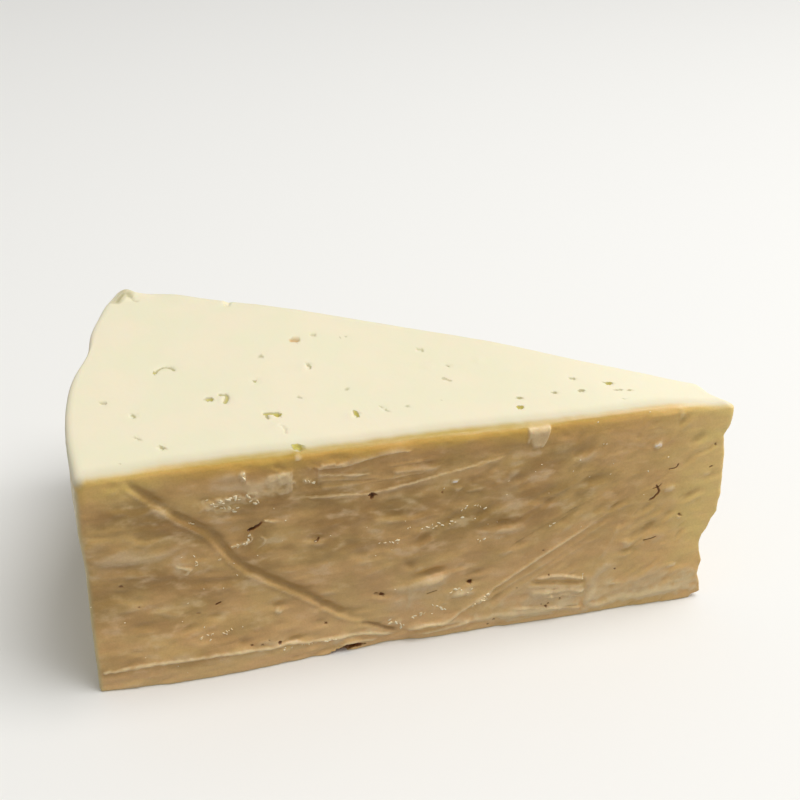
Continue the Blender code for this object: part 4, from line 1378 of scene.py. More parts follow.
@dataclass(frozen=True)
class TopCut:
    """The top cut, in plan: its eyes, the crumbs standing on it, and the curl at its back rim corner."""

    eyes: tuple[Eye, ...] = field(default_factory=lambda: large_eyes() + pin_eyes())
    crumbs: tuple[Swelling, ...] = (
        Swelling(60.3, 40.9, 1.1, 1.3, 0.3),
        Swelling(47.9, 17.8, 1.0, 0.6, 0.4, -20),
        Swelling(48.4, 13.2, 1.2, 1.4, 0.25, -40),
        Swelling(51.2, 0.9, 0.8, 0.6, 0.25),
        Swelling(67.0, 14.6, 0.8, 1.3, 0.25),
        Swelling(92.5, 34.8, 1.5, 0.5, 0.3, -10),
        Swelling(96.0, 34.1, 0.9, 0.5, 0.3, -10),
        Swelling(106.2, 35.0, 0.8, 0.9, 0.35),
        Swelling(31.2, 72.3, 0.9, 0.8, 0.25, 30),
        Swelling(132.3, 16.3, 0.5, 0.7, 0.25),
        Swelling(19.6, 9.4, 0.6, 0.8, 0.2),
        Swelling(144.7, 18.6, 0.5, 0.6, 0.2),
        Swelling(37.0, 29.3, 0.6, 1.4, 0.2),
    )
    curl: tuple[Swelling, ...] = (
        Swelling(18.4, 94.4, 2.4, 1.6, 2.1, -28),
        Swelling(16.7, 92.6, 1.3, 1.5, 0.9, 30),
        Swelling(22.4, 93.2, 3.0, 1.3, 0.7, -28),
        Swelling(32.5, 90.4, 7.5, 2.2, 0.6, -31),
    )
    folds: tuple[Stroke, ...] = (
        # Under the curl, with painted shade
        Stroke(((14.4, 89.2), (16.2, 91.8), (18.4, 94.0), (20.2, 92.0)), Mark.GROOVE, 1.3, 0.2, stain=0.28),
        Stroke(((15.4, 90.6), (16.6, 92.2), (17.6, 93.1)), Mark.GROOVE, 0.36, 0.3, lip=0.15, stain=0.2),
        Stroke(((18.0, 93.6), (19.4, 92.4), (20.3, 90.4), (21.6, 89.6)), Mark.GROOVE, 0.36, 0.35,
               stain=0.25),
        # Eyes cut through so thinly that only a curved line shows, painted olive as shade with yellowed
        # paste
        Stroke(((22.2, 46.2), (23.4, 48.0), (25.2, 48.8), (26.8, 47.6), (27.2, 46.2)), Mark.GROOVE, 0.36,
               0.45, fades=(0.1, 0.1), stain=0.6),
        Stroke(((36.7, 31.0), (37.6, 31.4), (38.7, 30.8), (38.5, 28.9), (37.5, 26.6)), Mark.GROOVE, 0.42,
               0.5, fades=(0.1, 0.1), stain=0.7),
        Stroke(((49.0, 14.0), (50.1, 12.9), (50.3, 10.8), (49.5, 9.4)), Mark.GROOVE, 0.3, 0.22, ragged=0.5,
               stain=0.2),
        Stroke(((46.0, 19.7), (48.0, 19.6), (50.2, 18.9)), Mark.GROOVE, 0.5, 0.6, fades=(0.1, 0.05),
               stain=0.9),
        Stroke(((47.0, 19.2), (46.8, 18.0), (47.2, 16.8)), Mark.GROOVE, 0.3, 0.4, fades=(0.1, 0.2),
               stain=0.6),
    )

    swell: Lumps = Lumps(0.4, (41.6, 41.6), 2.2)
    texture: Lumps = Lumps(0.06, (5.5, 5.5), 12.2)

    def relief(self, along: Array, back: Array) -> Array:
        """How far the top cut stands up.

        Args:
            along: Where the places lie along the front cut.
            back: How far behind it.

        Returns:
            The height at each place.
        """
        out = self.swell.at(along, back) + self.texture.at(along, back)
        for eye in self.eyes:
            close = eye.close_to(along, back)
            out[close] -= eye.depth_at(along[close], back[close])
        return sum((mark.height_at(along, back) for mark in (*self.crumbs, *self.curl, *self.folds)), out)

    def colouring(self, along: Array, back: Array) -> tuple[Array, Array]:
        """How far the eyes and the folds are painted olive, as shade with yellowed paste, and how far
        browned.

        Args:
            along: Where the places lie along the front cut.
            back: How far behind it.

        Returns:
            How strongly each place is painted olive, as shade with yellowed paste, and how far it has
            browned.
        """
        # Painted shade with yellowed paste, on the eyes' steep walls and in the folds
        yellow = sum((fold.stain_at(along, back) for fold in self.folds), np.zeros_like(along))
        brown = np.zeros_like(along)
        for eye in self.eyes:
            close = eye.close_to(along, back)
            here = along[close], back[close]
            yellow[close] = np.maximum(yellow[close], eye.olive * eye.wall_at(*here))
            brown[close] = np.maximum(brown[close], eye.brown_at(*here))
        return np.clip(yellow, 0.0, 1.0), brown


# ---------------------------------------------------------------------------------------------------
# The shaped surface


@dataclass(frozen=True)
class Zones:
    """Where the paste's looks change, in millimetres.

    A pair says where a change starts and where it is complete. cream_past_back, _tip and _rim are how
    far past those edges of the top its dry cream runs, and cream_fade_behind over how much it ends. The
    four that start with on_ are how far from a side its looks are felt. The spans are the millimetres
    that a share of 1 stands for.
    """

    tipward: tuple[float, float] = (104.0, 164.0)
    # Where painted bounce light lightens the foot
    footward_up: tuple[float, float] = (2.0, 42.0)
    footward_along: tuple[float, float] = (30.0, 65.0)
    footward_at_rim: float = 0.45
    bottom_strip: tuple[float, float] = (3.5, 6.5)
    # Where painted glow stands in for light through the paste
    tip_glow_along: tuple[float, float] = (143.0, 163.0)
    tip_glow_up: tuple[float, float] = (4.0, 24.0)
    rim_glow: float = 0.5
    rim_glow_along: tuple[float, float] = (8.0, 34.0)
    rim_glow_up: tuple[float, float] = (51.0, 59.0)
    even: float = 0.55
    even_depth: tuple[float, float] = (0.5, 0.9)
    cream_past_back: float = 0.7
    cream_past_tip: float = 1.0
    cream_past_rim: float = 2.6
    cream_fade_behind: float = 0.6
    on_cut: float = 0.9
    least_felt: float = 0.02
    palest_felt: float = 0.4
    on_rim: float = 0.7
    rind_top: tuple[float, float] = (-1.6, 0.0)
    on_foot: float = 0.35
    on_top: float = 1.5
    edge_span: float = 20.0
    inside_span: float = 10.0
    lift_span: float = 2.4

    def footward(self, along: Array, up: Array) -> Array:
        """How near the foot places lie, more strongly away from the rim: where painted bounce light lightens
        the paste.
        """
        share = self.footward_at_rim + (1 - self.footward_at_rim) * rise(along, *self.footward_along)
        return np.maximum((1 - rise(up, *self.footward_up)) * share, 1 - rise(up, *self.bottom_strip))

    def glow(self, along: Array, up: Array) -> Array:
        """Where painted glow stands in for light that comes through the paste: at the tip and the top rim
        corner.
        """
        at_rim = self.rim_glow * (1 - rise(along, *self.rim_glow_along)) * rise(up, *self.rim_glow_up)
        return np.maximum(rise(along, *self.tip_glow_along) * rise(up, *self.tip_glow_up), at_rim)


@dataclass(frozen=True)
class Closer:
    """How far round small marks the grid is made closer: once, and once more.

    The patches are the middles and half sizes of those parts of the front cut that are made closer once.
    """

    eyes: tuple[float, float] = (1.9, 1.35)
    folds: tuple[float, float] = (1.8, 1.0)
    pits: tuple[float, float] = (2.0, 1.4)
    strokes: tuple[float, float] = (1.1, 0.7)
    curl: tuple[float, float, float] = (18.5, 92.0, 6.5)
    widest_stroke: float = 0.5
    lowest_stroke: float = 0.35
    patches: tuple[tuple[float, float, float, float], ...] = (
        (68.5, 55.2, 13.4, 4.4), (47.0, 54.8, 4.2, 4.4), (36.0, 49.6, 9.5, 3.6),
    )


@dataclass
class WedgeSurface:
    """Turns points of the unit block into places on the cheese, and says what each place looks like."""

    cut: WheelCut
    front: CutFace
    back: CutFace
    tip: BrokenTip
    top: TopCut = field(default_factory=TopCut)
    rim: Rim = field(default_factory=Rim)
    foot: Foot = field(default_factory=Foot)
    zones: Zones = field(default_factory=Zones)
    closer: Closer = field(default_factory=Closer)
    edge_reach: float = 2.4
    fine_reach: float = 1.1
    front_edge_round: float = 0.7
    cream_setback: tuple[tuple[float, float], ...] = (
        (0, -2.4), (3, 0.0), (12, 0.6), (20, 1.8), (28, 1.9), (37, 2.2), (46, 1.9), (65, 2.1), (92, 2.7),
        (105, 2.2), (117, 1.7), (128, 1.3), (141, 1.9), (147, 2.1), (156, 0.4), (160, -0.6), (164, -1.4),
    )
    cream_fade: float = 1.7
    cream_waver: Lumps = Lumps(0.35, (2.4, 1.0), 4.4)
    front_swell: Lumps = Lumps(0.4, (26.0, 26.0), 11.3)
    back_swell: Lumps = Lumps(0.6, (26.0, 26.0), 7.9)

    def rounded(self, unit: Array) -> tuple[Array, Array, Array]:
        """The block at its true size with its edges rounded.

        Args:
            unit: Points of the unit block.

        Returns:
            The places, the size of the block through each, and the places before rounding.
        """
        size = self.cut.sizes(unit)
        sharp = unit * size
        at_front = 1 - rise(unit[:, 1], 0.02, 0.3)
        radius = self.cut.edge_round + self.front_edge_round * at_front
        radius = self.cut.foot_round + (radius - self.cut.foot_round) * unit[:, 2]
        inner = np.clip(sharp, radius[:, None], size - radius[:, None])
        outward = sharp - inner
        length = np.maximum(np.linalg.norm(outward, axis=1, keepdims=True), 1e-9)
        return inner + outward / length * radius[:, None], size, sharp

    def near(self, distance: Array, reach: float) -> Array:
        """How much of a cut's relief is felt at a distance from the cut."""
        return np.exp(-((distance / reach) ** 2))

    def places(self, unit: Array) -> Array:
        """Where each point of the unit block lies on the finished cheese.

        Args:
            unit: Points of the unit block.

        Returns:
            A row (along, back, up) in millimetres for each.
        """
        flat, size, _ = self.rounded(unit)
        along, back, up = flat.T
        length, width, height = size.T
        plan = self.cut.plan(along / length, back / width)
        place = np.column_stack([plan, up])

        by_front = back < 4 * self.edge_reach
        one, two = along[by_front], up[by_front]
        broad = self.foot.relief(one, two) + self.front_swell.at(one, two)
        fine = self.front.relief(one, two)
        place[by_front, 1] -= broad * self.near(back[by_front], self.edge_reach)
        place[by_front, 1] -= fine * self.near(back[by_front], self.fine_reach)

        behind = width - back
        by_back = behind < 4 * self.edge_reach
        one, two = along[by_back], up[by_back]
        out = self.back_swell.at(one, two) * self.near(behind[by_back], self.edge_reach)
        out += self.back.relief(one, two) * self.near(behind[by_back], self.fine_reach)
        place[by_back, :2] += out[:, None] * self.cut.back_outward

        by_tip = length - along < 4 * self.edge_reach
        out = self.tip.relief(back[by_tip], up[by_tip])
        place[by_tip, 0] += out * self.near((length - along)[by_tip], self.edge_reach)

        by_rim = along < 4 * self.edge_reach
        out = self.rim.relief(back[by_rim], up[by_rim], self.cut.height, self.edge_reach)
        place[by_rim, 0] -= out * self.near(along[by_rim], self.edge_reach)

        by_top = height - up < 3 * self.edge_reach
        felt = self.near((height - up)[by_top], self.fine_reach)
        place[by_top, 2] += self.top.relief(*plan[by_top].T) * felt
        return place

    def cream_line(self, along: Array) -> Array:
        """How far behind the top's front edge the dry cream surface ends."""
        places, setbacks = zip(*self.cream_setback)
        return np.interp(along, places, setbacks) + self.cream_waver.at(along, 0 * along)

    def looks(self, unit: Array) -> dict[str, Array]:
        """What each place looks like.

        Args:
            unit: Points of the unit block.

        Returns:
            Shares between 0 and 1. cream: the dry top paste. edge: how far below the cream, which places the
            painted glow band. inside: how far into the cream. lift: the fine relief, 0.5 where it is level,
                from
            which the finish paints shade in the hollows and highlight on what stands proud. stain: dark pits
            and cracks, and the painted shadow in the notch. pale: smeared paste, and painted highlight along
            the ridges, the beads and the foot. olive and brown: the walls of the eyes, olive being painted
            shade with yellowed paste, also in the folds. tipward: nearness to the tip, where painted light
            makes the
            paste lighter. footward: nearness to the foot, for painted bounce light. even: where the paste is
                less
            mottled. glow: where painted glow stands in for light that comes through. rind: the rim and the
                foot.
        """
        zones = self.zones
        flat, size, sharp = self.rounded(unit)
        along, back, up = flat.T
        length, width, height = size.T
        drop = height - sharp[:, 2]
        run, depth = sharp[:, 0], sharp[:, 1]
        from_front = depth - drop - self.cream_line(along)
        from_back = (width - depth) - drop + zones.cream_past_back
        from_tip = (length - run) - drop + zones.cream_past_tip
        from_rim = run - drop + zones.cream_past_rim
        cream = rise(from_front, -self.cream_fade, self.cream_fade)
        for distance in (from_back, from_tip, from_rim):
            cream *= rise(distance, -zones.cream_fade_behind, zones.cream_fade_behind)
        below = np.minimum.reduce([from_front, from_back, from_tip])
        below = np.minimum(np.maximum(-below, 0.0), np.maximum(drop + zones.cream_past_rim, 0.0))

        lift, stain, pale = np.zeros_like(along), np.zeros_like(along), np.zeros_like(along)
        for distance, face in ((back, self.front), (width - back, self.back)):
            share = self.near(distance, zones.on_cut)
            chosen = share > zones.least_felt
            one, two = along[chosen], up[chosen]
            lift[chosen] += face.relief(one, two) * share[chosen]
            stain[chosen] += face.stain(one, two) * share[chosen]
            pale[chosen] += face.paleness(one, two) * np.maximum(share[chosen], zones.palest_felt)

        plan = self.cut.plan(along / length, back / width)
        olive, brown = np.zeros_like(along), np.zeros_like(along)
        by_top = height - up < zones.on_top
        olive[by_top], brown[by_top] = self.top.colouring(*plan[by_top].T)
        on_rim = self.near(along, zones.on_rim) * (1 - rise(from_rim, *zones.rind_top))
        rind = np.maximum(on_rim, self.near(up, zones.on_foot))
        return {
            "cream": cream,
            "edge": np.clip(below / zones.edge_span, 0.0, 1.0),
            "inside": np.clip(from_front / zones.inside_span, 0.0, 1.0),
            "lift": np.clip(0.5 + lift / zones.lift_span, 0.0, 1.0),
            "stain": stain,
            "pale": pale,
            "olive": olive,
            "brown": brown,
            "tipward": rise(along, *zones.tipward),
            "footward": zones.footward(along, up),
            "even": zones.even * rise(back / width, *zones.even_depth),
            "glow": zones.glow(along, up),
            "rind": np.clip(rind, 0.0, 1.0) * (1 - cream),
        }

    def fine_places(self, unit: Array, finest: bool) -> Array:
        """Which points of the unit block lie where small marks need a closer grid.

        Args:
            unit: The points.
            finest: Whether only the smallest and sharpest marks count.

        Returns:
            True for each point that does.
        """
        flat, size, _ = self.rounded(unit)
        along, back, up = flat.T
        plan = self.cut.plan(along / size[:, 0], back / size[:, 1])
        closer = self.closer
        on_top, on_front = unit[:, 2] > 1 - 1e-9, unit[:, 1] < 1e-9
        curl_along, curl_back, curl_reach = closer.curl
        wanted = on_top & (np.hypot(plan[:, 0] - curl_along, plan[:, 1] - curl_back) < curl_reach)
        for eye in self.top.eyes:
            wanted |= on_top & eye.close_to(*plan.T, closer.eyes[finest])
        for fold in self.top.folds:
            wanted |= on_top & fold.passes(*plan.T, closer.folds[finest])
        for pit in self.front.pits:
            wanted |= on_front & (pit.reach_of(along, up) < closer.pits[finest])
        for mark in self.front.strokes:
            sharp = mark.half < closer.widest_stroke and mark.height > closer.lowest_stroke
            if mark.mark is Mark.SLIT or (sharp and not finest):
                wanted |= on_front & mark.passes(along, up, closer.strokes[finest])
        for middle, level, half, half_height in () if finest else closer.patches:
            wanted |= on_front & (np.abs(along - middle) < half) & (np.abs(up - level) < half_height)
        return wanted


# ---------------------------------------------------------------------------------------------------
# Finishes


def linear(colour: str) -> tuple[float, float, float, float]:
    """An sRGB hex colour as Blender's linear one."""
    channels = [int(colour[at : at + 2], 16) / 255 for at in (1, 3, 5)]
    return (*[c / 12.92 if c <= 0.04045 else ((c + 0.055) / 1.055) ** 2.4 for c in channels], 1.0)


def add_node(
    tree: bpy.types.NodeTree,
    kind: str,
    inputs: dict[int | str, Any] | None = None,
    stops: Sequence[tuple[float, str]] = (),
    **settings: Any,
) -> bpy.types.Node:
    """Adds a node with its settings and links.

    Args:
        tree: The material's node tree.
        kind: Blender's name for the kind of node.
        inputs: A value, or another node's output to link, for each input.
        stops: The places and colours of a colour ramp.
        settings: The node's own settings.

    Returns:
        The new node.
    """
    node = tree.nodes.new(kind)
    for name, value in settings.items():
        setattr(node, name, value)
    for name, value in (inputs or {}).items():
        if isinstance(value, bpy.types.NodeSocket):
            tree.links.new(value, node.inputs[name])
        else:
            node.inputs[name].default_value = value
    if stops:
        band = node.color_ramp.elements
        while len(band) < len(stops):
            band.new(1.0)
        for stop, (place, colour) in zip(band, stops):
            stop.position, stop.color = place, linear(colour)
    return node


@dataclass(frozen=True)
class AsiagoPaste:
    """Fresh pressed asiago: a moist, slightly translucent cow's-milk paste, drawn through by a wet knife.

    The top cut has dried to a matt cream. The long cuts were pressed against their wrapping, which left
    them moist and mottled. Their tan is partly the paste's own colour and partly painted shade, and the
    yellow band under the top edge is painted glow, where light comes through.
    """

    cream: str = "#ECE4C6"
    cream_rosy: str = "#F0E2C4"
    cream_green: str = "#E8E3C1"
    # Painted light: the top lighter towards the tip
    cream_lit_tip: str = "#F4ECCE"
    veil: str = "#F1EFEC"
    # The tan of the long cuts: partly the paste's own colour, partly painted shade
    skin_dark: str = "#B89052"
    skin_middle: str = "#D2A86C"
    skin_light: str = "#DFB573"
    skin_dry: str = "#EFD0A0"
    rosy: str = "#FFF3FA"
    greenish: str = "#F6FFF0"
    grain_shade: str = "#F9F8F5"
    # Painted shade in the hollows and painted highlight on what stands proud
    hollow: str = "#B08A4C"
    lip: str = "#E8CA9C"
    # Painted glow of light through the paste: the band under the top edge and the tip
    glow_band_high: str = "#C2A03C"
    glow_band: str = "#DCB056"
    glow_band_amber: str = "#DAAB6A"
    tip_glow_khaki: str = "#F0C57E"
    glow: str = "#FFDC8C"
    # Painted bounce light that lightens the foot
    foot: str = "#EEC486"
    smear: str = "#F8DDAA"
    crystal: str = "#FFF0E4"
    stain: str = "#8A5A2A"
    stain_deep: str = "#6B421C"
    # Painted shade with yellowed paste, for the walls of the eyes and the folds
    eye_wall: str = "#C8BB62"
    eye_shade: str = "#C0B78E"
    eye_brown: str = "#C8964E"
    rind: str = "#DCCB98"
    rind_deep: str = "#C6AF76"
    roughness_dry: float = 0.62
    roughness_moist: float = 0.38
    ior: float = 1.45
    translucency: float = 0.16
    light_reach: float = 2.0
    mottle_size: float = 8.0
    patch_size: float = 4.0
    tint_size: float = 7.0
    speck_size: float = 0.5
    rind_size: float = 14.0
    cream_size: float = 16.0
    moist_size: float = 3.0
    drag_spacing: float = 0.9
    grain_size: float = 0.35
    dry_grain_size: float = 1.3
    relief_depth: float = 0.25
    knife_angle: float = 34.0
    drag_angle: float = 4.0

    def build(self) -> bpy.types.Material:
        """Builds the colour, the gloss and the fine relief from the surface's own shares.

        Returns:
            The material.
        """
        material = bpy.data.materials.new("fresh_asiago_paste_knife_cut")
        material.use_nodes = True
        tree = material.node_tree
        shader = tree.nodes["Principled BSDF"]

        def share(name: str) -> bpy.types.NodeSocket:
            """One of the surface's own shares."""
            return add_node(tree, "ShaderNodeAttribute", attribute_name=name).outputs["Fac"]

        def blend(factor: Any, one: Any, two: Any, mode: str = "MIX") -> bpy.types.NodeSocket:
            """One colour laid over another.

            Args:
                factor: How strongly it is laid over.
                one: The colour under it.
                two: The colour laid over, which may be a hex one.
                mode: How the two are mixed.

            Returns:
                The output with the new colour.
            """
            laid = {0: factor, 6: one, 7: linear(two) if isinstance(two, str) else two}
            node = add_node(tree, "ShaderNodeMix", laid, data_type="RGBA", blend_type=mode)
            return node.outputs[2]

        def between(value: Any, low: float, high: float, start: float = 0.0, end: float = 1.0) -> Any:
            """A value's range carried to another range."""
            limits = {0: value, 1: low, 2: high, 3: start, 4: end}
            return add_node(tree, "ShaderNodeMapRange", limits, interpolation_type="SMOOTHSTEP").outputs[0]

        def times(one: Any, two: Any, how: str = "MULTIPLY") -> bpy.types.NodeSocket:
            """Two values multiplied, or put together another way."""
            return add_node(tree, "ShaderNodeMath", {0: one, 1: two}, operation=how).outputs[0]

        def clouds(place: Any, size: float, detail: float = 2.0) -> bpy.types.NodeSocket:
            """Soft noise with lumps of a real size in millimetres."""
            settings = {"Vector": place, "Scale": 1.0 / (size * MM), "Detail": detail, "Roughness": 0.55}
            return add_node(tree, "ShaderNodeTexNoise", settings).outputs["Fac"]

        place = add_node(tree, "ShaderNodeTexCoord").outputs["Object"]
        stretched = {"Vector": place, "Scale": (1.8, 1.0, 1.0)}
        level = add_node(tree, "ShaderNodeMapping", stretched, vector_type="TEXTURE").outputs[0]
        knife = (0.0, -math.radians(self.knife_angle), 0.0)
        slanting = {"Vector": place, "Rotation": knife, "Scale": (1.9, 1.0, 1.0)}
        slant = add_node(tree, "ShaderNodeMapping", slanting, vector_type="TEXTURE").outputs[0]

        tipward, lift, edge = share("tipward"), share("lift"), share("edge")
        streaks = blend(
            between(tipward, 0.0, 0.25),
            clouds(level, self.mottle_size, 3.0),
            clouds(slant, 0.7 * self.mottle_size, 3.0),
        )

        # The long cuts: mottled tan, partly painted shade, lighter towards the foot with painted bounce
        # light and towards the tip with painted glow
        skin = blend(between(streaks, 0.37, 0.61), linear(self.skin_dark), self.skin_light)
        skin = blend(between(clouds(level, self.patch_size, 3.0), 0.52, 0.7, 0.0, 0.7), skin, self.skin_dry)
        skin = blend(share("even"), skin, self.skin_middle)
        # Painted bounce light towards the foot
        skin = blend(share("footward"), skin, self.foot)

        # Painted glow: the yellow band under the top edge and the lighter tip stand in for light that comes
        # through the paste
        skin = blend(between(edge, 0.5, 0.25, 0.0, 0.6), skin, self.glow_band_amber)
        skin = blend(between(edge, 0.38, 0.17, 0.0, 0.9), skin, self.glow_band)
        skin = blend(between(edge, 0.15, 0.06), skin, self.glow_band_high)
        skin = blend(times(tipward, 0.85), skin, self.tip_glow_khaki)
        skin = blend(share("glow"), skin, self.glow)
        tint_share = between(clouds(level, self.tint_size, 1.0), 0.38, 0.62)
        tint = blend(tint_share, linear(self.greenish), self.rosy)
        skin = blend(0.28, skin, tint, "MULTIPLY")

        # Painted shade in the hollows and painted highlight on what stands proud, from the fine relief
        skin = blend(between(lift, 0.48, 0.22, 0.0, 0.6), skin, self.hollow)
        skin = blend(between(lift, 0.53, 0.74, 0.0, 0.7), skin, self.lip)
        # Pale smears and crystals, with painted highlight along the ridges, the beads and the foot
        skin = blend(share("pale"), skin, self.smear)
        skin = blend(between(share("pale"), 0.8, 1.0), skin, self.crystal)
        specks = between(clouds(place, self.speck_size), 0.35, 0.65)
        skin = blend(specks, skin, self.grain_shade, "MULTIPLY")
        rind = blend(clouds(place, self.rind_size), linear(self.rind), self.rind_deep)
        skin = blend(share("rind"), skin, rind)

        # The top cut
        cream_share = between(clouds(place, self.cream_size, 3.0), 0.35, 0.65)
        cream = blend(cream_share, linear(self.cream_green), self.cream_rosy)
        cream = blend(0.55, cream, self.cream)
        # Painted light: the top lighter towards the tip
        cream = blend(tipward, cream, self.cream_lit_tip)
        cream = blend(between(share("inside"), 0.1, 0.5, 1.0, 0.0), cream, self.veil, "MULTIPLY")
        # The walls of the eyes and the folds: painted shade with yellowed paste
        cream = blend(between(share("olive"), 0.0, 0.5), cream, self.eye_shade)
        cream = blend(between(share("olive"), 0.45, 0.9), cream, self.eye_wall)
        cream = blend(share("brown"), cream, self.eye_brown)

        colour = blend(share("cream"), skin, cream)
        stain = share("stain")
        colour = blend(between(stain, 0.0, 0.6), colour, self.stain)
        colour = blend(between(stain, 0.55, 0.95), colour, self.stain_deep)

        # Moist on the long cuts, drier on the top
        limits = self.roughness_moist - 0.07, self.roughness_moist + 0.1
        moist = between(clouds(level, self.moist_size), 0.3, 0.7, *limits)
        roughness = add_node(tree, "ShaderNodeMix", {0: share("cream"), 2: moist, 3: self.roughness_dry})

        # Drag lines of the knife and the paste's own grain, drawn a little coarser than life
        turn = (0.0, -math.radians(self.drag_angle), 0.0)
        drag = {"Vector": place, "Rotation": turn, "Scale": (14.0, 1.0, 1.0)}
        drag_place = add_node(tree, "ShaderNodeMapping", drag, vector_type="TEXTURE").outputs[0]
        drag_lines = clouds(drag_place, self.drag_spacing, 1.0)
        grain = clouds(place, self.grain_size, 2.0)
        relief = times(times(drag_lines, 0.55), times(grain, 0.22), "ADD")
        dry_relief = times(clouds(place, self.dry_grain_size, 3.0), 0.25)
        relief = add_node(tree, "ShaderNodeMix", {0: share("cream"), 2: relief, 3: dry_relief}).outputs[0]
        bumps = {"Strength": 0.5, "Distance": self.relief_depth * MM, "Height": relief}
        raised = add_node(tree, "ShaderNodeBump", bumps).outputs[0]

        tree.links.new(colour, shader.inputs["Base Color"])
        tree.links.new(roughness.outputs[0], shader.inputs["Roughness"])
        tree.links.new(raised, shader.inputs["Normal"])
        shader.inputs["Metallic"].default_value = 0.0
        shader.inputs["IOR"].default_value = self.ior
        shader.inputs["Subsurface Weight"].default_value = self.translucency
        shader.inputs["Subsurface Radius"].default_value = (1.0, 0.55, 0.22)
        shader.inputs["Subsurface Scale"].default_value = self.light_reach * MM
        return material


@dataclass(frozen=True)
class WetFleck:
    """Flecks of paste torn up by the knife and wetted by whey: pale, smooth and shiny; their near white is
    partly painted highlight, standing in for glints of wet paste.
    """

    # Near white: partly painted highlight for the glints of wet paste
    colour: str = "#FFF3D0"
    colour_deep: str = "#F6DFAE"
    roughness: float = 0.14
    ior: float = 1.4
    tone_size: float = 2.0

    def build(self) -> bpy.types.Material:
        """Builds the wet finish.

        Returns:
            The material.
        """
        material = bpy.data.materials.new("wet_asiago_fleck")
        material.use_nodes = True
        tree = material.node_tree
        shader = tree.nodes["Principled BSDF"]
        place = add_node(tree, "ShaderNodeTexCoord").outputs["Object"]
        patches = {"Vector": place, "Scale": 1.0 / (self.tone_size * MM)}
        tone = add_node(tree, "ShaderNodeTexNoise", patches).outputs["Fac"]
        tones = ((0.35, self.colour_deep), (0.6, self.colour))
        colour = add_node(tree, "ShaderNodeValToRGB", {0: tone}, tones).outputs[0]
        tree.links.new(colour, shader.inputs["Base Color"])
        shader.inputs["Roughness"].default_value = self.roughness
        shader.inputs["IOR"].default_value = self.ior
        return material


# ---------------------------------------------------------------------------------------------------
# The pieces


@dataclass
class Piece:
    """A piece of the cheese: the surface that it follows, and the wedge's front rim corner in the frame."""

    surface: WedgeSurface
    corner: Vector
    finish: AsiagoPaste | WetFleck

    def dress(self, piece: bpy.types.Object) -> None:
        """Gives the piece its finish and its place in the frame.

        Args:
            piece: The piece's object.
        """
        piece.data.materials.append(self.finish.build())
        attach(piece, BODY)


@dataclass
class Wedge(Piece):
    """The wedge itself: one closed skin with all its marks."""

    finish: AsiagoPaste = field(default_factory=AsiagoPaste)

    def build(self) -> bpy.types.Object:
        """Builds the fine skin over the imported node.

        Returns:
            The wedge's object.
        """
        skin = Block(self.surface.cut).build()
        for finest in (False, True):
            unit = np.array([vert.co for vert in skin.verts])
            for vert, chosen in zip(skin.verts, self.surface.fine_places(unit, finest)):
                vert.tag = bool(chosen)
            close = [edge for edge in skin.edges if edge.verts[0].tag and edge.verts[1].tag]
            bmesh.ops.subdivide_edges(skin, edges=close, cuts=1, use_grid_fill=True)
        unit = np.array([vert.co for vert in skin.verts])
        mesh = finished(skin, "asiago_wedge")
        places = self.surface.places(unit) * MM + np.array(self.corner)
        mesh.vertices.foreach_set("co", places.astype(np.float32).ravel())
        for name, values in self.surface.looks(unit).items():
            layer = mesh.attributes.new(name, "FLOAT", "POINT")
            layer.data.foreach_set("value", values.astype(np.float32))
        mesh.shade_smooth()
        mesh.update()
        wedge = shown("asiago_wedge", mesh)
        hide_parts(NODE)
        return wedge


class Row(NamedTuple):
    """A row of flecks, strewn near a line on the front cut."""

    path: tuple[tuple[float, float], ...]
    count: int
    spread: float = 0.35
    size: float = 0.5


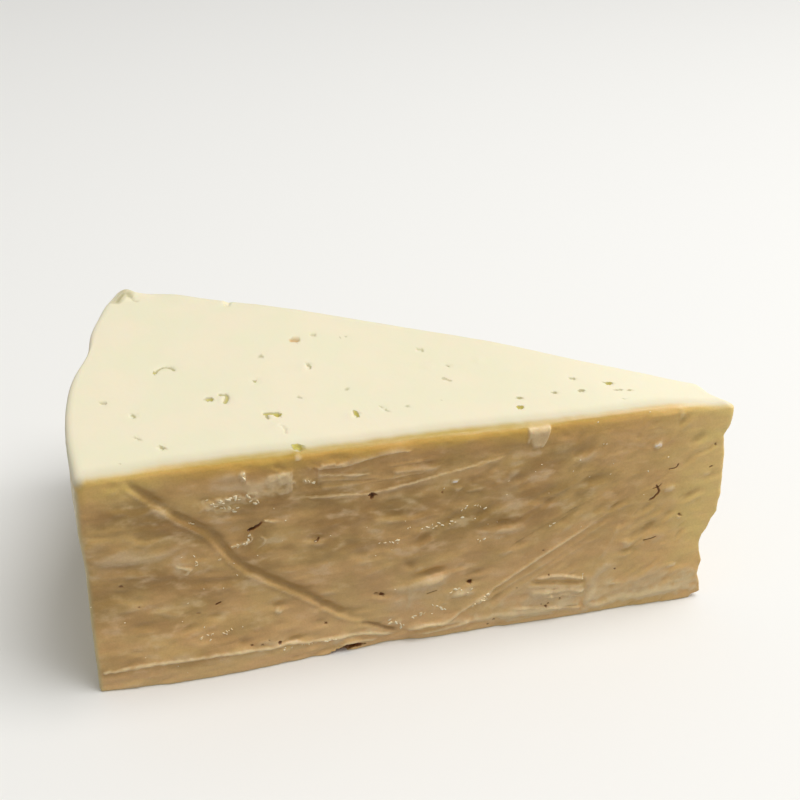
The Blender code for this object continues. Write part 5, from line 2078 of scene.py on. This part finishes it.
@dataclass
class Flecks(Piece):
    """Wet flecks of paste that stand up from the front cut, mostly where the knife tore it."""

    finish: WetFleck = field(default_factory=WetFleck)
    seed: int = 9
    slimness: float = 0.36
    slimmest: float = 0.09
    proud: float = 0.26
    turn_spread: float = 0.5
    tilt_spread: float = 0.25
    lump_size: float = 0.35
    lump_share: float = 0.22
    rows: tuple[Row, ...] = (
        # Along the torn patch and the curls of paste under it
        Row(((28.7, 51.7), (33.2, 52.1), (38.2, 52.4), (42.1, 49.6)), 18, 0.5, 0.6),
        Row(((30.5, 50.9), (33.9, 49.0), (36.6, 48.3)), 10, 0.4, 0.55),
        Row(((37.6, 59.0), (38.4, 57.2)), 4),
        Row(((52.3, 54.7), (55.1, 53.2)), 5),
        Row(((34.3, 37.7), (38.7, 38.2), (39.0, 40.4)), 10, 0.35, 0.55),
        Row(((25.6, 37.2), (26.2, 34.2)), 4),
        Row(((24.4, 45.9), (25.6, 44.9)), 3),
        Row(((30.9, 34.6), (31.6, 34.8)), 2),
        # Over the press marks in the middle
        Row(((68.6, 34.0), (74.3, 33.1), (76.1, 33.4)), 8),
        Row(((82.1, 35.9), (87.4, 36.3), (92.4, 37.0)), 12),
        Row(((91.0, 38.8), (94.1, 40.7), (98.9, 39.6)), 7),
        Row(((97.3, 29.6), (98.8, 31.3)), 3),
        Row(((117.4, 32.4), (115.9, 30.3)), 3),
        # Low down, above the foot
        Row(((25.0, 12.5), (31.0, 12.9), (37.7, 12.9)), 12, 0.5, 0.4),
        Row(((40.0, 5.1), (62.0, 5.3)), 14, 0.2, 0.35),
        Row(((73.4, 7.1), (74.7, 8.2), (76.3, 6.9), (77.7, 4.6)), 12, 0.3, 0.6),
        Row(((79.5, 8.0), (81.6, 8.2), (83.5, 8.9), (85.4, 7.9)), 10, 0.3, 0.5),
        Row(((85.3, 11.2), (87.5, 9.8), (89.2, 8.2)), 7, 0.3, 0.5),
        Row(((90.0, 14.4), (93.0, 14.9), (96.0, 14.6)), 10, 0.5, 0.5),
        Row(((96.3, 8.9), (98.7, 10.6), (101.0, 12.4)), 9, 0.4, 0.45),
        Row(((126.7, 14.3), (126.4, 12.9)), 4, 0.15, 0.4),
        # Strewn over the whole cut
        Row(((3.0, 9.1), (40.0, 33.0), (80.0, 25.0), (124.0, 45.0), (139.1, 58.7)), 50, 9.0, 0.26),
    )

    def places(self) -> list[tuple[float, float, float, float]]:
        """Draws the flecks' places.

        Returns:
            Where each lies along and up the front cut, its half length, and how it is turned.
        """
        draw = np.random.default_rng(self.seed)
        made = []
        for row in self.rows:
            points = np.array(row.path)
            for _ in range(row.count):
                at = draw.uniform(0, len(points) - 1)
                start, end = points[int(at)], points[int(at) + 1]
                middle = start + (end - start) * (at - int(at)) + draw.normal(0, row.spread, 2)
                turn = math.atan2(*(end - start)[::-1]) + draw.normal(0, self.turn_spread)
                made.append((*middle, row.size * draw.uniform(0.5, 1.25), turn))
        return made

    def build(self) -> bpy.types.Object:
        """Builds every fleck into one piece.

        Returns:
            The flecks' object.
        """
        draw = np.random.default_rng(self.seed + 1)
        noise.seed_set(self.seed)  # vector noise would differ on every run without it
        flecks = self.places()
        size = self.surface.cut.length, self.surface.cut.height
        units = np.array([(along / size[0], 0.0, up / size[1]) for along, up, *_ in flecks])
        middles = self.surface.places(np.clip(units, 0.0, 1.0))
        heap = bmesh.new()
        for middle, (_, _, half, turn) in zip(middles, flecks):
            slim = max(self.slimness * half, self.slimmest) * draw.uniform(0.7, 1.4)
            scale = Matrix.Diagonal((half, self.proud * draw.uniform(0.6, 1.2), slim, 1.0))
            tilt = Matrix.Rotation(draw.normal(0, self.tilt_spread), 4, "Z")
            matrix = Matrix.Translation(middle) @ Matrix.Rotation(-turn, 4, "Y") @ tilt @ scale
            made = bmesh.ops.create_icosphere(heap, subdivisions=2, radius=1.0, matrix=matrix)
            for vert in made["verts"]:
                vert.co += noise.noise_vector(vert.co / self.lump_size) * self.lump_share * slim
        bmesh.ops.scale(heap, vec=(MM, MM, MM), verts=heap.verts)
        bmesh.ops.translate(heap, vec=self.corner, verts=heap.verts)
        mesh = finished(heap, "wet_flecks")
        mesh.shade_smooth()
        return shown("wet_flecks", mesh)


# ---------------------------------------------------------------------------------------------------
# The studio


@dataclass
class Studio:
    """A plain pale floor, soft light from above, and the camera."""

    corner: Vector
    camera_place: tuple[float, float, float] = (9.08, -253.24, 225.90)
    yaw: float = 14.73
    pitch: float = 30.2
    roll: float = 1.15
    lens: float = 58.5
    sensor: float = 36.0
    clip: tuple[float, float] = (0.01, 20.0)
    floor_colour: str = "#F1F0EC"
    floor_size: float = 8.0
    floor_roughness: float = 0.9
    key_power: float = 19.6
    key_size: float = 1.0
    key_place: tuple[float, float, float] = (0.54, -0.20, 1.55)
    side_power: float = 4.0
    side_size: float = 0.6
    side_place: tuple[float, float, float] = (1.30, 0.10, 0.24)
    sky_above: float = 0.41
    sky_below: float = 0.42
    horizon: float = 0.3

    def camera(self) -> bpy.types.Object:
        """Builds the camera, where the photographer held it over the wedge's front rim corner.

        Returns:
            The camera's object.
        """
        data = bpy.data.cameras.new("camera")
        data.lens, data.sensor_width = self.lens, self.sensor
        data.clip_start, data.clip_end = self.clip
        camera = shown("camera", data)
        turn = Matrix.Rotation(-math.radians(self.yaw), 4, "Z")
        tilt = Matrix.Rotation(math.radians(90 - self.pitch), 4, "X")
        lean = Matrix.Rotation(math.radians(self.roll), 4, "Z")
        place = self.corner + Vector(self.camera_place) * MM
        camera.matrix_world = Matrix.Translation(place) @ turn @ tilt @ lean
        bpy.context.scene.camera = camera
        return camera

    def floor(self) -> bpy.types.Object:
        """Builds a plain pale floor.

        Returns:
            The floor's object.
        """
        sheet = bmesh.new()
        bmesh.ops.create_grid(sheet, x_segments=1, y_segments=1, size=self.floor_size / 2)
        mesh = finished(sheet, "floor")
        material = bpy.data.materials.new("matt_studio_card")
        material.use_nodes = True
        shader = material.node_tree.nodes["Principled BSDF"]
        shader.inputs["Base Color"].default_value = linear(self.floor_colour)
        shader.inputs["Roughness"].default_value = self.floor_roughness
        mesh.materials.append(material)
        floor = shown("floor", mesh)
        floor.visible_diffuse = False
        floor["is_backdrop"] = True
        return floor

    def soft_light(self, name: str, size: float, power: float, place: Sequence[float]) -> None:
        """Adds a soft square light that faces the middle of the floor.

        Args:
            name: The light's name.
            size: Its side in metres.
            power: Its power in watts.
            place: Where it hangs, in metres.
        """
        data = bpy.data.lights.new(name, "AREA")
        data.shape, data.size, data.energy = "SQUARE", size, power
        light = shown(name, data)
        light.location = place
        light.rotation_mode = "QUATERNION"
        light.rotation_quaternion = (-Vector(place)).to_track_quat("-Z", "Y")

    def lights(self) -> None:
        """A large soft light overhead, a weak one beside the tip, and an even sky."""
        self.soft_light("overhead", self.key_size, self.key_power, self.key_place)
        self.soft_light("beside_tip", self.side_size, self.side_power, self.side_place)
        world = bpy.data.worlds.new("studio_air")
        world.use_nodes = True
        tree = world.node_tree
        direction = add_node(tree, "ShaderNodeTexCoord").outputs["Generated"]
        upward = add_node(tree, "ShaderNodeSeparateXYZ", {0: direction}).outputs["Z"]
        limits = {0: upward, 1: -self.horizon, 2: self.horizon, 3: self.sky_below, 4: self.sky_above}
        strength = add_node(tree, "ShaderNodeMapRange", limits).outputs[0]
        sky = tree.nodes["Background"]
        sky.inputs["Color"].default_value = (1.0, 1.0, 1.0, 1.0)
        tree.links.new(strength, sky.inputs["Strength"])
        bpy.context.scene.world = world
        bpy.context.scene.view_settings.view_transform = "Standard"


def main() -> None:
    """Builds the cheese and its studio in order."""
    logging.basicConfig(level=logging.INFO, format="%(name)s: %(message)s")
    low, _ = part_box(NODE)
    corner = low + Vector(CORNER_IN_BOX) * MM

    cut = WheelCut()
    surface = WedgeSurface(cut, front_cut(), back_cut(), BrokenTip(cut.tip_width))
    for part in (Wedge(surface, corner), Flecks(surface, corner)):
        piece = part.build()
        part.dress(piece)
        piece.data.calc_loop_triangles()
        log.info("%s: %d triangles", piece.name, len(piece.data.loop_triangles))

    studio = Studio(corner)
    studio.floor()
    studio.lights()
    studio.camera()

    boxes = {"cad": CAD_BOX, "visual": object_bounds()}
    {name: [list(point) for point in box] for name, box in boxes.items()}
    log.info("sizes written")


if __name__ == "__main__":
    main()
